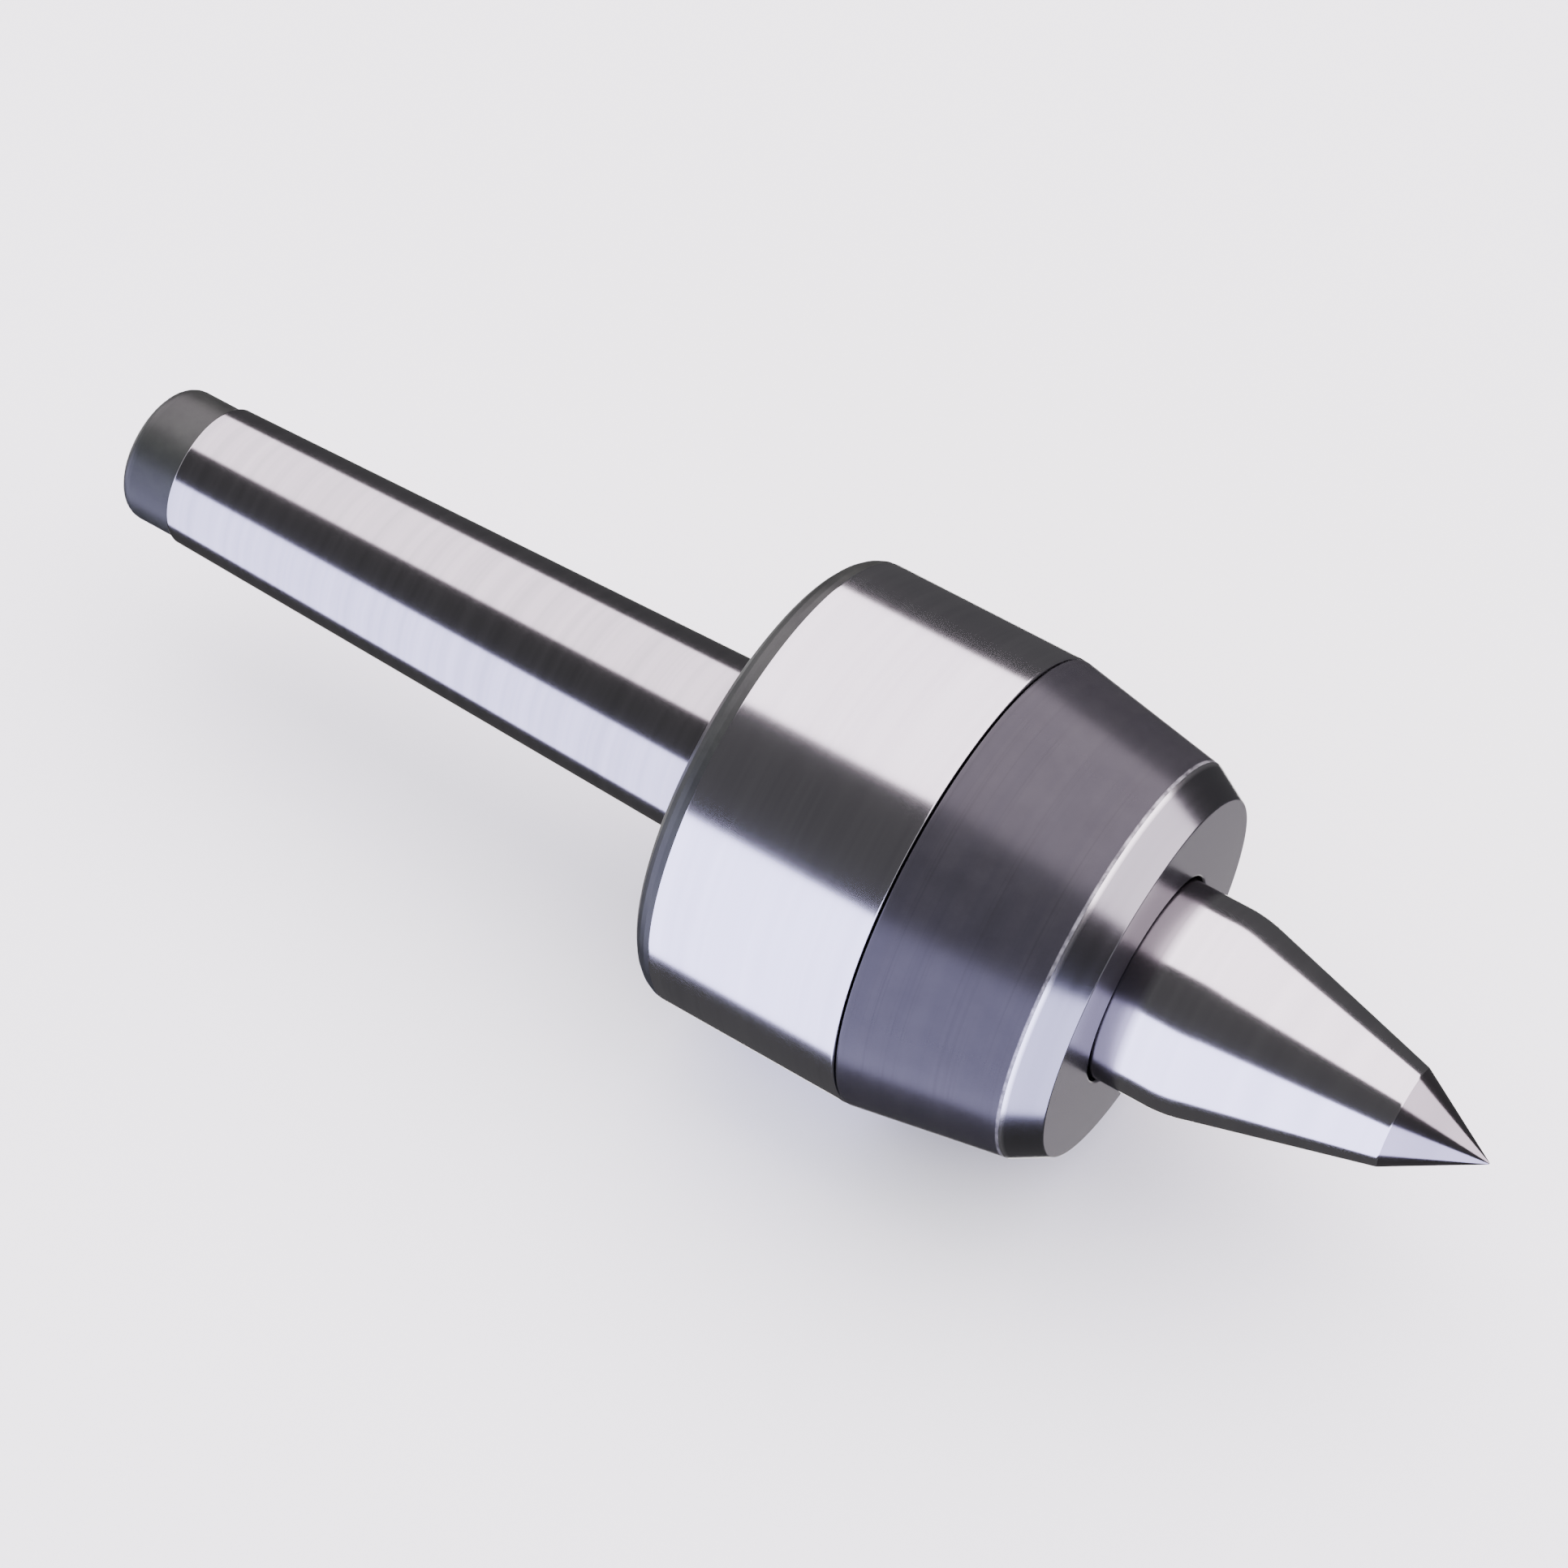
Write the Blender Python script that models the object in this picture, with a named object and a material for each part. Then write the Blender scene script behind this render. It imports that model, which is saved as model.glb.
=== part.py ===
"""A heavy-duty live centre (revolving tailstock centre) with a Morse taper No. 4 shank and an extended point.

Frame: the origin is on the spindle axis in the gauge plane of the Morse taper. +X runs along the axis
towards the point, and +Z is up. Dimensions are in millimetres until MM turns them into Blender's metres.

The shank and the bearing housing are one piece of steel. The point turns inside it on a grooved ball
bearing at the front, a thrust ball bearing behind that, and a needle roller bearing in the root of the
shank. A tapered cap screws over the front of the housing and carries the shaft seal.
"""

import math

import bmesh
import bpy
from mathutils import Matrix, Vector

MM = 0.001
GAP = 0.3  # clearance left at every seat and shoulder, and round every rolling element

# How many sides round pieces have.
OUTER_SIDES = 40
INNER_SIDES = 24
HOLE_SIDES = 12
ROLLER_SIDES = 8

# --- Morse taper No. 4 ---
TAPER_GAUGE_DIAMETER = 31.267
TAPER_PER_MM = 1 / 19.254  # on the diameter
TAPER_LENGTH = 106.5  # behind the gauge plane
SHANK_LENGTH = 117.5  # behind the gauge plane, with the end pilot
SHOULDER_X = 6.5  # the housing's rear face, ahead of the gauge plane
UNDERCUT_WIDTH = 2.5
UNDERCUT_DEPTH = 0.7
PILOT_RADIUS = 12.3
PILOT_ROUND = 2.6
CENTRE_HOLE_RADIUS = 4.0
CENTRE_DRILL_RADIUS = 1.6
CENTRE_DRILL_DEPTH = 9.0
CENTRE_DRILL_POINT = 0.9  # length of the drilled hole's cone

# --- Housing and cap, outside ---
BODY_RADIUS = 40.0
BODY_LENGTH = 71.5
REAR_ROUND = 4.5
CAP_X = SHOULDER_X + 39.0  # where the cap meets the housing
CAP_FRONT_RADIUS = 35.1
CAP_CHAMFER_LENGTH = 6.0
CAP_FACE_RADIUS = 31.6
FACE_X = SHOULDER_X + BODY_LENGTH
EDGE_BREAK = 0.5

# --- Point ---
POINT_PROJECTION = 60.0
COLLAR_RADIUS = 17.5
COLLAR_LENGTH = 9.0
RELIEF_HALF_ANGLE = 15.0
TIP_HALF_ANGLE = 30.0
TIP_LENGTH = 15.0
TIP_X = FACE_X + POINT_PROJECTION

# --- Front ball bearing, 30 x 55 x 13 ---
FRONT_X = 58.5
FRONT_WIDTH = 13.0
FRONT_BORE_RADIUS = 15.0
FRONT_OUTER_RADIUS = 27.2
FRONT_PITCH_RADIUS = 21.1
FRONT_BALL_RADIUS = 3.57
FRONT_BALLS = 11
FRONT_INNER_LAND = 19.2
FRONT_OUTER_LAND = 23.3
FRONT_CAGE_RADII = (20.2, 22.3)
FRONT_CAGE_WIDTH = 10.0
SHIELD_OFFSET = 6.0
SHIELD_THICKNESS = 0.5

# --- Thrust ball bearing, 25 x 47 x 15 ---
THRUST_X = 33.5
THRUST_HEIGHT = 15.0
THRUST_PITCH_RADIUS = 18.2
THRUST_BALL_RADIUS = 3.95
THRUST_BALLS = 11
THRUST_FACE_OFFSET = 3.2  # from the ball centres to the face of each washer
THRUST_SHAFT_RADII = (12.5, 23.4)
THRUST_HOUSING_RADII = (13.6, 24.0)
THRUST_CAGE_RADII = (13.6, 22.8)
THRUST_CAGE_THICKNESS = 2.2

# --- Needle bearing, 17 x 23 x 16, with a drawn cup ---
NEEDLE_X = 2.5
NEEDLE_CUP_LENGTH = 16.0
NEEDLE_CUP_RADIUS = 11.5
NEEDLE_CUP_WALL = 0.7
NEEDLE_CUP_LIP_RADIUS = 8.7
NEEDLE_PITCH_RADIUS = 9.5
NEEDLE_RADIUS = 1.0
NEEDLE_LENGTH = 9.8
NEEDLES = 14
NEEDLE_CAGE_RADII = (8.9, 10.1)
NEEDLE_CAGE_LENGTH = 13.0

# --- Spindle behind the point ---
FRONT_JOURNAL_RADIUS = FRONT_BORE_RADIUS - GAP
THRUST_JOURNAL_RADIUS = 12.5 - GAP
NEEDLE_JOURNAL_RADIUS = NEEDLE_PITCH_RADIUS - NEEDLE_RADIUS - GAP
COLLAR_SHOULDER_X = FRONT_X + FRONT_WIDTH / 2 + GAP
THRUST_SHOULDER_X = THRUST_X + THRUST_HEIGHT / 2 + GAP
NEEDLE_SHOULDER_X = 12.5
TAIL_X = -9.0
KEYWAY_WIDTH = 5.2
KEYWAY_FLOOR = 12.9

# --- Housing, inside ---
SPIGOT_END_X = 63.0
SPIGOT_RADIUS = 32.0
FRONT_SEAT_RADIUS = FRONT_OUTER_RADIUS + GAP
THRUST_SEAT_RADIUS = THRUST_HOUSING_RADII[1] + GAP
NEEDLE_SEAT_RADIUS = NEEDLE_CUP_RADIUS + GAP
PASSAGE_RADIUS = 13.2
TAIL_BORE_RADIUS = 10.2
TAIL_BORE_END_X = -12.0
O_RING_GROOVE_X = (46.3, 48.9)
O_RING_GROOVE_RADIUS = 30.2
O_RING_PITCH_RADIUS = 31.3
O_RING_SECTION_RADIUS = 0.8

# --- Cap, inside ---
CAP_THREAD_RADIUS = SPIGOT_RADIUS + GAP
CAP_RECESS_RADIUS = FRONT_SEAT_RADIUS + 0.5
CAP_RECESS_X = (SPIGOT_END_X + 0.5, 67.0)
SEAL_SEAT_RADIUS = 26.0
SEAL_SEAT_END_X = 74.5
CAP_BORE_RADIUS = 18.1
SPANNER_HOLE_X = 60.0
SPANNER_HOLE_RADIUS = 2.5
SPANNER_HOLE_DEPTH = 3.5
SPANNER_HOLE_ANGLE = 215.0  # degrees about X, from +Z towards -Y
LOCK_SCREW_X = 53.0
LOCK_SCREW_ANGLE = 150.0
LOCK_SCREW_RADIUS = 2.0
LOCK_SCREW_LENGTH = 5.0
LOCK_SCREW_SOCKET_ACROSS_FLATS = 2.0
LOCK_SCREW_SOCKET_DEPTH = 2.4

# --- Seal and preload ---
SEAL_RIM_WALL = 1.6
GARTER_SPRING_RADIUS = 20.1
GARTER_SECTION_RADIUS = 0.55
WAVE_WASHER_X = 66.0
WAVE_WASHER_RADII = (24.2, FRONT_OUTER_RADIUS)
WAVE_WASHER_THICKNESS = 0.4
WAVE_HEIGHT = 0.45
WAVES = 4

# --- Lock nut and tab washer ---
NUT_X = (43.0, 50.2)
NUT_RADII = (15.0, 22.5)
NUT_SLOTS = 4
NUT_SLOT_WIDTH = 5.0
NUT_SLOT_FLOOR = 20.2
TAB_WASHER_X = (50.5, 51.7)
TAB_WASHER_RADII = (15.0, 19.0)
TAB_COUNT = 13
TAB_WIDTH = 2.6
TAB_RADIUS = 21.2
TAB_BURIED = 1.0  # how far a tab reaches into the ring it is joined to
TAB_INSET = 0.05  # a tab is this much thinner on each side, so no faces of the union coincide
BENT_TAB_WIDTH = 3.4
BENT_TAB_LENGTH = 2.6
BENT_TAB_THICKNESS = 1.1

# Colour, roughness and metallic value of each material.
FINISHES = {
    "ground_steel": ((0.72, 0.72, 0.75), 0.18, 1.0),
    "black_oxide_steel": ((0.12, 0.12, 0.14), 0.38, 0.8),
    "bearing_steel": ((0.66, 0.67, 0.69), 0.15, 1.0),
    "spring_steel": ((0.35, 0.35, 0.37), 0.35, 1.0),
    "cage_brass": ((0.72, 0.55, 0.25), 0.35, 1.0),
    "seal_rubber": ((0.03, 0.03, 0.035), 0.6, 0.0),
}


def clear_scene():
    for obj in list(bpy.data.objects):
        bpy.data.objects.remove(obj)


def make_materials():
    materials = {}
    for name, (colour, roughness, metallic) in FINISHES.items():
        material = bpy.data.materials.new(name)
        material.use_nodes = True
        shader = material.node_tree.nodes["Principled BSDF"]
        shader.inputs["Base Color"].default_value = (*colour, 1.0)
        shader.inputs["Roughness"].default_value = roughness
        shader.inputs["Metallic"].default_value = metallic
        materials[name] = material
    return materials


def axis_empty(name, x):
    """An empty on the spindle axis, which carries the pieces that turn together."""
    empty = bpy.data.objects.new(name, None)
    bpy.context.scene.collection.objects.link(empty)
    empty.location = (x * MM, 0, 0)
    return empty


def add_object(name, mesh, x=0.0, parent=None, material=None):
    """Links an object whose origin is on the axis at x. Under a parent it keeps that place."""
    obj = bpy.data.objects.new(name, mesh)
    bpy.context.scene.collection.objects.link(obj)
    if material and not mesh.materials:
        mesh.materials.append(material)
    obj.parent = parent
    parent_x = parent.location.x / MM if parent else 0.0
    obj.location = ((x - parent_x) * MM, 0, 0)
    return obj


def mesh_from(bm, name, sharp_angle=30):
    """Finishes a bmesh in millimetres as a smooth-shaded mesh in metres."""
    bmesh.ops.remove_doubles(bm, verts=bm.verts, dist=1e-4)
    bmesh.ops.recalc_face_normals(bm, faces=bm.faces)
    bmesh.ops.scale(bm, vec=(MM, MM, MM), verts=bm.verts)
    mesh = bpy.data.meshes.new(name)
    bm.to_mesh(mesh)
    bm.free()
    mesh.shade_smooth()
    mesh.set_sharp_from_angle(angle=math.radians(sharp_angle))
    return mesh


def arc(centre_x, centre_r, radius, start, end, steps):
    """Points (x, r) along an arc. Angles are in degrees, from +X towards +r."""
    angles = [math.radians(start + (end - start) * i / steps) for i in range(steps + 1)]
    return [
        (centre_x + radius * math.cos(a), centre_r + radius * math.sin(a))
        for a in angles
    ]


def turned_mesh(name, outline, sides):
    """A body of revolution about X: the closed outline of (x, r) points, spun a full turn."""
    bm = bmesh.new()
    verts = [bm.verts.new((x, 0, r)) for x, r in outline]
    edges = [bm.edges.new((a, b)) for a, b in zip(verts, verts[1:] + verts[:1])]
    on_axis = [e for e in edges if all(abs(v.co.z) < 1e-6 for v in e.verts)]
    bmesh.ops.delete(bm, geom=on_axis, context="EDGES")
    edges = list(bm.edges)
    bmesh.ops.spin(
        bm,
        geom=verts + edges,
        axis=(1, 0, 0),
        cent=(0, 0, 0),
        angle=math.tau,
        steps=sides,
        use_merge=True,
    )
    return mesh_from(bm, name)


def turned(name, outline, material, x=0.0, parent=None, sides=INNER_SIDES):
    return add_object(name, turned_mesh(name, outline, sides), x, parent, material)


def chamfered_ring(x0, x1, r0, r1, chamfer=0.4):
    """Outline of a flat ring with its four edges broken."""
    c = chamfer
    return [
        (x0, r0 + c),
        (x0, r1 - c),
        (x0 + c, r1),
        (x1 - c, r1),
        (x1, r1 - c),
        (x1, r0 + c),
        (x1 - c, r0),
        (x0 + c, r0),
    ]


def around(count):
    """Evenly spaced turns about X, as angles."""
    return [math.tau * i / count for i in range(count)]


def about_x(angle):
    return Matrix.Rotation(angle, 4, "X")


def box_into(bm, low, high, turn=0.0):
    """Adds a box between two corners to a bmesh, turned about X."""
    low, high = Vector(low), Vector(high)
    size = high - low
    place = about_x(turn) @ Matrix.Translation((low + high) / 2)
    bmesh.ops.create_cube(bm, size=1.0, matrix=place @ Matrix.Diagonal((*size, 1)))


def cylinder_into(bm, radius, length, place, sides=HOLE_SIDES):
    """Adds a cylinder along its local Z to a bmesh."""
    bmesh.ops.create_cone(
        bm,
        cap_ends=True,
        segments=sides,
        radius1=radius,
        radius2=radius,
        depth=length,
        matrix=place,
    )


def helper(name, bm, x=0.0, parent=None):
    """A cutter or an addition for a Boolean. It isn't part of the model itself."""
    obj = add_object(name, mesh_from(bm, name), x, parent)
    obj.hide_render = True
    obj.display_type = "WIRE"
    return obj


def boolean(obj, other, operation="DIFFERENCE"):
    modifier = obj.modifiers.new(other.name, "BOOLEAN")
    modifier.operation = operation
    modifier.object = other
    modifier.solver = "EXACT"


def taper_radius(x):
    return (TAPER_GAUGE_DIAMETER + x * TAPER_PER_MM) / 2


# --- Pieces that stand still ---


def housing_outline():
    """The shank and the bearing housing in section, from the centre hole round to the tail bore."""
    end = -SHANK_LENGTH
    countersink = (CENTRE_HOLE_RADIUS - CENTRE_DRILL_RADIUS) / math.tan(math.radians(30))
    undercut_x = SHOULDER_X - UNDERCUT_WIDTH
    undercut_radius = taper_radius(undercut_x) - UNDERCUT_DEPTH
    shank = [
        (end + CENTRE_DRILL_DEPTH + CENTRE_DRILL_POINT, 0),
        (end + CENTRE_DRILL_DEPTH, CENTRE_DRILL_RADIUS),
        (end + countersink, CENTRE_DRILL_RADIUS),
        (end, CENTRE_HOLE_RADIUS),
        *arc(end + PILOT_ROUND, PILOT_RADIUS - PILOT_ROUND, PILOT_ROUND, 180, 90, 3),
        (-TAPER_LENGTH, PILOT_RADIUS),
        (-TAPER_LENGTH + EDGE_BREAK, taper_radius(-TAPER_LENGTH + EDGE_BREAK)),
        (undercut_x - EDGE_BREAK, taper_radius(undercut_x)),
        (undercut_x, undercut_radius),
        (SHOULDER_X, undercut_radius),
    ]
    body = [
        *arc(SHOULDER_X + REAR_ROUND, BODY_RADIUS - REAR_ROUND, REAR_ROUND, 180, 90, 4),
        (CAP_X - GAP - EDGE_BREAK, BODY_RADIUS),
        (CAP_X - GAP, BODY_RADIUS - EDGE_BREAK),
    ]
    spigot = [
        (CAP_X - GAP, SPIGOT_RADIUS),
        (O_RING_GROOVE_X[0], SPIGOT_RADIUS),
        (O_RING_GROOVE_X[0], O_RING_GROOVE_RADIUS),
        (O_RING_GROOVE_X[1], O_RING_GROOVE_RADIUS),
        (O_RING_GROOVE_X[1], SPIGOT_RADIUS),
        (SPIGOT_END_X - 1, SPIGOT_RADIUS),
        (SPIGOT_END_X, SPIGOT_RADIUS - 1),
    ]
    front_shoulder = FRONT_X - FRONT_WIDTH / 2 - GAP
    thrust_shoulder = THRUST_X - THRUST_HEIGHT / 2 - GAP
    needle_mouth = NEEDLE_X + NEEDLE_CUP_LENGTH / 2 + 0.5
    needle_floor = NEEDLE_X - NEEDLE_CUP_LENGTH / 2 - GAP
    bores = [
        (SPIGOT_END_X, FRONT_SEAT_RADIUS),
        (front_shoulder, FRONT_SEAT_RADIUS),
        (front_shoulder, THRUST_SEAT_RADIUS),
        (thrust_shoulder, THRUST_SEAT_RADIUS),
        (thrust_shoulder, PASSAGE_RADIUS),
        (needle_mouth, PASSAGE_RADIUS),
        (needle_mouth, NEEDLE_SEAT_RADIUS),
        (needle_floor, NEEDLE_SEAT_RADIUS),
        (needle_floor, TAIL_BORE_RADIUS),
        (TAIL_BORE_END_X, TAIL_BORE_RADIUS),
        (TAIL_BORE_END_X - TAIL_BORE_RADIUS / 2, 0),
    ]
    return shank + body + spigot + bores


def front_cap(materials):
    chamfer_x = FACE_X - CAP_CHAMFER_LENGTH
    skirt_slope = (BODY_RADIUS - CAP_FRONT_RADIUS) / (chamfer_x - CAP_X)
    outline = [
        (CAP_X, CAP_THREAD_RADIUS),
        (CAP_X, BODY_RADIUS - EDGE_BREAK),
        (CAP_X + EDGE_BREAK, BODY_RADIUS),
        (chamfer_x, CAP_FRONT_RADIUS),
        (FACE_X, CAP_FACE_RADIUS),
        (FACE_X, CAP_BORE_RADIUS),
        (SEAL_SEAT_END_X, CAP_BORE_RADIUS),
        (SEAL_SEAT_END_X, SEAL_SEAT_RADIUS),
        (CAP_RECESS_X[1], SEAL_SEAT_RADIUS),
        (CAP_RECESS_X[1], CAP_RECESS_RADIUS),
        (CAP_RECESS_X[0], CAP_RECESS_RADIUS),
        (CAP_RECESS_X[0], CAP_THREAD_RADIUS),
    ]
    cap = turned("front_cap", outline, materials["black_oxide_steel"], sides=OUTER_SIDES)
    spanner_hole_top = BODY_RADIUS - (SPANNER_HOLE_X - CAP_X) * skirt_slope
    through_the_wall = BODY_RADIUS - SPIGOT_RADIUS + 1
    holes = (
        ("spanner_hole_cutter", SPANNER_HOLE_ANGLE, SPANNER_HOLE_X, spanner_hole_top,
         SPANNER_HOLE_RADIUS, SPANNER_HOLE_DEPTH),
        ("lock_screw_hole_cutter", LOCK_SCREW_ANGLE, LOCK_SCREW_X, BODY_RADIUS,
         LOCK_SCREW_RADIUS + GAP, through_the_wall),
    )
    for name, angle, x, top, radius, depth in holes:
        bm = bmesh.new()
        place = about_x(math.radians(angle)) @ Matrix.Translation((x, 0, top))
        cylinder_into(bm, radius, 2 * depth, place)
        boolean(cap, helper(name, bm))


def cap_lock_screw(materials):
    """A grub screw in the cap's skirt, with a hexagon socket, that bears on the spigot."""
    top = SPIGOT_RADIUS + GAP + LOCK_SCREW_LENGTH
    bm = bmesh.new()
    middle = Matrix.Translation((0, 0, top - LOCK_SCREW_LENGTH / 2))
    cylinder_into(bm, LOCK_SCREW_RADIUS, LOCK_SCREW_LENGTH, middle)
    turn = math.radians(LOCK_SCREW_ANGLE)
    screw = add_object(
        "cap_lock_screw",
        mesh_from(bm, "cap_lock_screw"),
        LOCK_SCREW_X,
        material=materials["black_oxide_steel"],
    )
    screw.rotation_euler.x = turn
    bm = bmesh.new()
    corner_radius = LOCK_SCREW_SOCKET_ACROSS_FLATS / 2 / math.cos(math.radians(30))
    place = Matrix.Translation((0, 0, top))
    cylinder_into(bm, corner_radius, 2 * LOCK_SCREW_SOCKET_DEPTH, place, sides=6)
    socket = helper("lock_screw_socket_cutter", bm, LOCK_SCREW_X)
    socket.rotation_euler.x = turn
    boolean(screw, socket)


def shaft_seal(materials):
    """A rubber lip seal pressed into the cap from behind, and the garter spring round its lip."""
    back, front = CAP_RECESS_X[1] + GAP, SEAL_SEAT_END_X - GAP
    rim = SEAL_SEAT_RADIUS - GAP
    inside_rim = rim - SEAL_RIM_WALL
    lip = COLLAR_RADIUS + GAP
    lip_x = front - 4.2
    web_x = front - 1.4
    outline = [
        (back, inside_rim),
        (back, rim),
        (front, rim),
        (front, lip + 1.2),
        (web_x, lip + 1.0),
        (lip_x + 1.6, lip + 0.6),
        (lip_x, lip),
        (lip_x - 1.2, lip + 0.8),
        (lip_x - 0.8, lip + 1.5),
        (lip_x + 0.6, lip + 1.3),
        (web_x - 0.2, lip + 2.2),
        (web_x, inside_rim - 0.2),
        (web_x - 0.6, inside_rim),
    ]
    turned("shaft_seal", outline, materials["seal_rubber"])
    section = arc(lip_x, GARTER_SPRING_RADIUS, GARTER_SECTION_RADIUS, 360, 60, 5)
    turned("seal_garter_spring", section, materials["spring_steel"])


def preload_wave_washer(materials):
    """A spring washer between the cap and the front bearing's outer ring, with four waves."""
    inner, outer = WAVE_WASHER_RADII
    half = WAVE_WASHER_THICKNESS / 2
    bm = bmesh.new()
    rings = []
    for angle in around(OUTER_SIDES):
        x = WAVE_WASHER_X + WAVE_HEIGHT * math.cos(WAVES * angle)
        corners = [(x - half, inner), (x - half, outer), (x + half, outer), (x + half, inner)]
        turn = about_x(angle)
        rings.append([bm.verts.new(turn @ Vector((cx, 0, cr))) for cx, cr in corners])
    for a, b in zip(rings, rings[1:] + rings[:1]):
        for i in range(4):
            bm.faces.new((a[i], a[i - 1], b[i - 1], b[i]))
    add_object(
        "preload_wave_washer",
        mesh_from(bm, "preload_wave_washer"),
        material=materials["spring_steel"],
    )


def fixed_pieces(materials):
    turned(
        "shank_housing",
        housing_outline(),
        materials["ground_steel"],
        sides=OUTER_SIDES,
    )
    front_cap(materials)
    cap_lock_screw(materials)
    groove_middle = sum(O_RING_GROOVE_X) / 2
    turned(
        "cap_o_ring",
        arc(groove_middle, O_RING_PITCH_RADIUS, O_RING_SECTION_RADIUS, 360, 60, 5),
        materials["seal_rubber"],
    )
    shaft_seal(materials)
    preload_wave_washer(materials)


# --- The point and what is clamped to it ---


def point_outline():
    """The point in section: tail, journals, collar, curved nose, relief cone and 60 degree tip."""
    tip_base_radius = TIP_LENGTH * math.tan(math.radians(TIP_HALF_ANGLE))
    tip_base_x = TIP_X - TIP_LENGTH
    collar_end_x = FACE_X + COLLAR_LENGTH
    slope = math.tan(math.radians(RELIEF_HALF_ANGLE))
    # The nose curve leaves the collar level and meets the relief cone at the cone's own slope.
    drop_per_radius = 1 - math.cos(math.radians(RELIEF_HALF_ANGLE))
    run_per_radius = math.sin(math.radians(RELIEF_HALF_ANGLE))
    cone_radius_at_collar = tip_base_radius + (tip_base_x - collar_end_x) * slope
    nose_radius = (cone_radius_at_collar - COLLAR_RADIUS) / (
        run_per_radius * slope - drop_per_radius
    )
    nose = arc(
        collar_end_x,
        COLLAR_RADIUS - nose_radius,
        nose_radius,
        90,
        90 - RELIEF_HALF_ANGLE,
        5,
    )
    return [
        (TAIL_X, 0),
        (TAIL_X, NEEDLE_JOURNAL_RADIUS - 1),
        (TAIL_X + 1, NEEDLE_JOURNAL_RADIUS),
        (NEEDLE_SHOULDER_X, NEEDLE_JOURNAL_RADIUS),
        (NEEDLE_SHOULDER_X, THRUST_JOURNAL_RADIUS - 0.5),
        (NEEDLE_SHOULDER_X + 0.5, THRUST_JOURNAL_RADIUS),
        (THRUST_SHOULDER_X, THRUST_JOURNAL_RADIUS),
        (THRUST_SHOULDER_X, FRONT_JOURNAL_RADIUS),
        (COLLAR_SHOULDER_X, FRONT_JOURNAL_RADIUS),
        (COLLAR_SHOULDER_X, COLLAR_RADIUS - EDGE_BREAK),
        (COLLAR_SHOULDER_X + EDGE_BREAK, COLLAR_RADIUS),
        *nose,
        (tip_base_x, tip_base_radius),
        (TIP_X, 0),
    ]


def center_point(materials, spindle):
    """The point, with a keyway on top of its thread for the tab washer."""
    point = turned(
        "center_point",
        point_outline(),
        materials["ground_steel"],
        parent=spindle,
        sides=OUTER_SIDES,
    )
    bm = bmesh.new()
    half = KEYWAY_WIDTH / 2
    box_into(
        bm,
        (THRUST_SHOULDER_X - 0.8, -half, KEYWAY_FLOOR),
        (TAB_WASHER_X[1] + 0.5, half, COLLAR_RADIUS),
    )
    boolean(point, helper("keyway_cutter", bm, parent=spindle))


def bearing_lock_nut(materials, spindle):
    nut = turned(
        "bearing_lock_nut",
        chamfered_ring(*NUT_X, *NUT_RADII, chamfer=0.7),
        materials["black_oxide_steel"],
        parent=spindle,
    )
    bm = bmesh.new()
    half = NUT_SLOT_WIDTH / 2
    for turn in around(NUT_SLOTS):
        box_into(
            bm,
            (NUT_X[0] - 1, -half, NUT_SLOT_FLOOR),
            (NUT_X[1] + 1, half, NUT_RADII[1] + 2),
            turn,
        )
    boolean(nut, helper("nut_slot_cutter", bm, parent=spindle))


def lock_tab_washer(materials, spindle):
    """A ring with outer tabs, one of them bent back into a slot of the nut, and a tab in the keyway."""
    x0, x1 = TAB_WASHER_X
    half = TAB_WIDTH / 2
    washer = turned(
        "lock_tab_washer",
        [
            (x0, TAB_WASHER_RADII[0]),
            (x0, TAB_WASHER_RADII[1]),
            (x1, TAB_WASHER_RADII[1]),
            (x1, TAB_WASHER_RADII[0]),
        ],
        materials["spring_steel"],
        parent=spindle,
    )
    bm = bmesh.new()
    for turn in around(TAB_COUNT)[:-1]:
        box_into(
            bm,
            (x0 + TAB_INSET, -half, TAB_WASHER_RADII[1] - TAB_BURIED),
            (x1 - TAB_INSET, half, TAB_RADIUS),
            turn + math.pi / TAB_COUNT,
        )
    boolean(washer, helper("washer_tabs", bm, parent=spindle), "UNION")
    bm = bmesh.new()
    key_half = KEYWAY_WIDTH / 2 - GAP
    box_into(
        bm,
        (x0 + TAB_INSET, -key_half, KEYWAY_FLOOR + GAP),
        (x1 - TAB_INSET, key_half, TAB_WASHER_RADII[0] + TAB_BURIED),
    )
    boolean(washer, helper("washer_key_tab", bm, parent=spindle), "UNION")
    bent_half = BENT_TAB_WIDTH / 2
    bent_floor = NUT_SLOT_FLOOR + GAP
    bm = bmesh.new()
    box_into(
        bm,
        (x0 - BENT_TAB_LENGTH, -bent_half, bent_floor),
        (x1 - 3 * TAB_INSET, bent_half, bent_floor + BENT_TAB_THICKNESS),
        math.pi,
    )
    boolean(washer, helper("washer_bent_tab", bm, parent=spindle), "UNION")
    bm = bmesh.new()
    box_into(
        bm,
        (x0 + 2 * TAB_INSET, TAB_INSET - bent_half, TAB_WASHER_RADII[1] - TAB_BURIED),
        (x1 - 2 * TAB_INSET, bent_half - TAB_INSET, bent_floor + BENT_TAB_THICKNESS / 2),
        math.pi,
    )
    boolean(washer, helper("washer_bent_tab_root", bm, parent=spindle), "UNION")


def spindle_pieces(materials):
    spindle = axis_empty("spindle_axis", 0.0)
    center_point(materials, spindle)
    bearing_lock_nut(materials, spindle)
    lock_tab_washer(materials, spindle)
    return spindle


# --- Bearings. Each is built round its own middle and placed along the axis. ---


def ball_mesh(name, radius):
    bm = bmesh.new()
    bmesh.ops.create_uvsphere(bm, u_segments=10, v_segments=6, radius=radius)
    return mesh_from(bm, name, sharp_angle=60)


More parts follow.
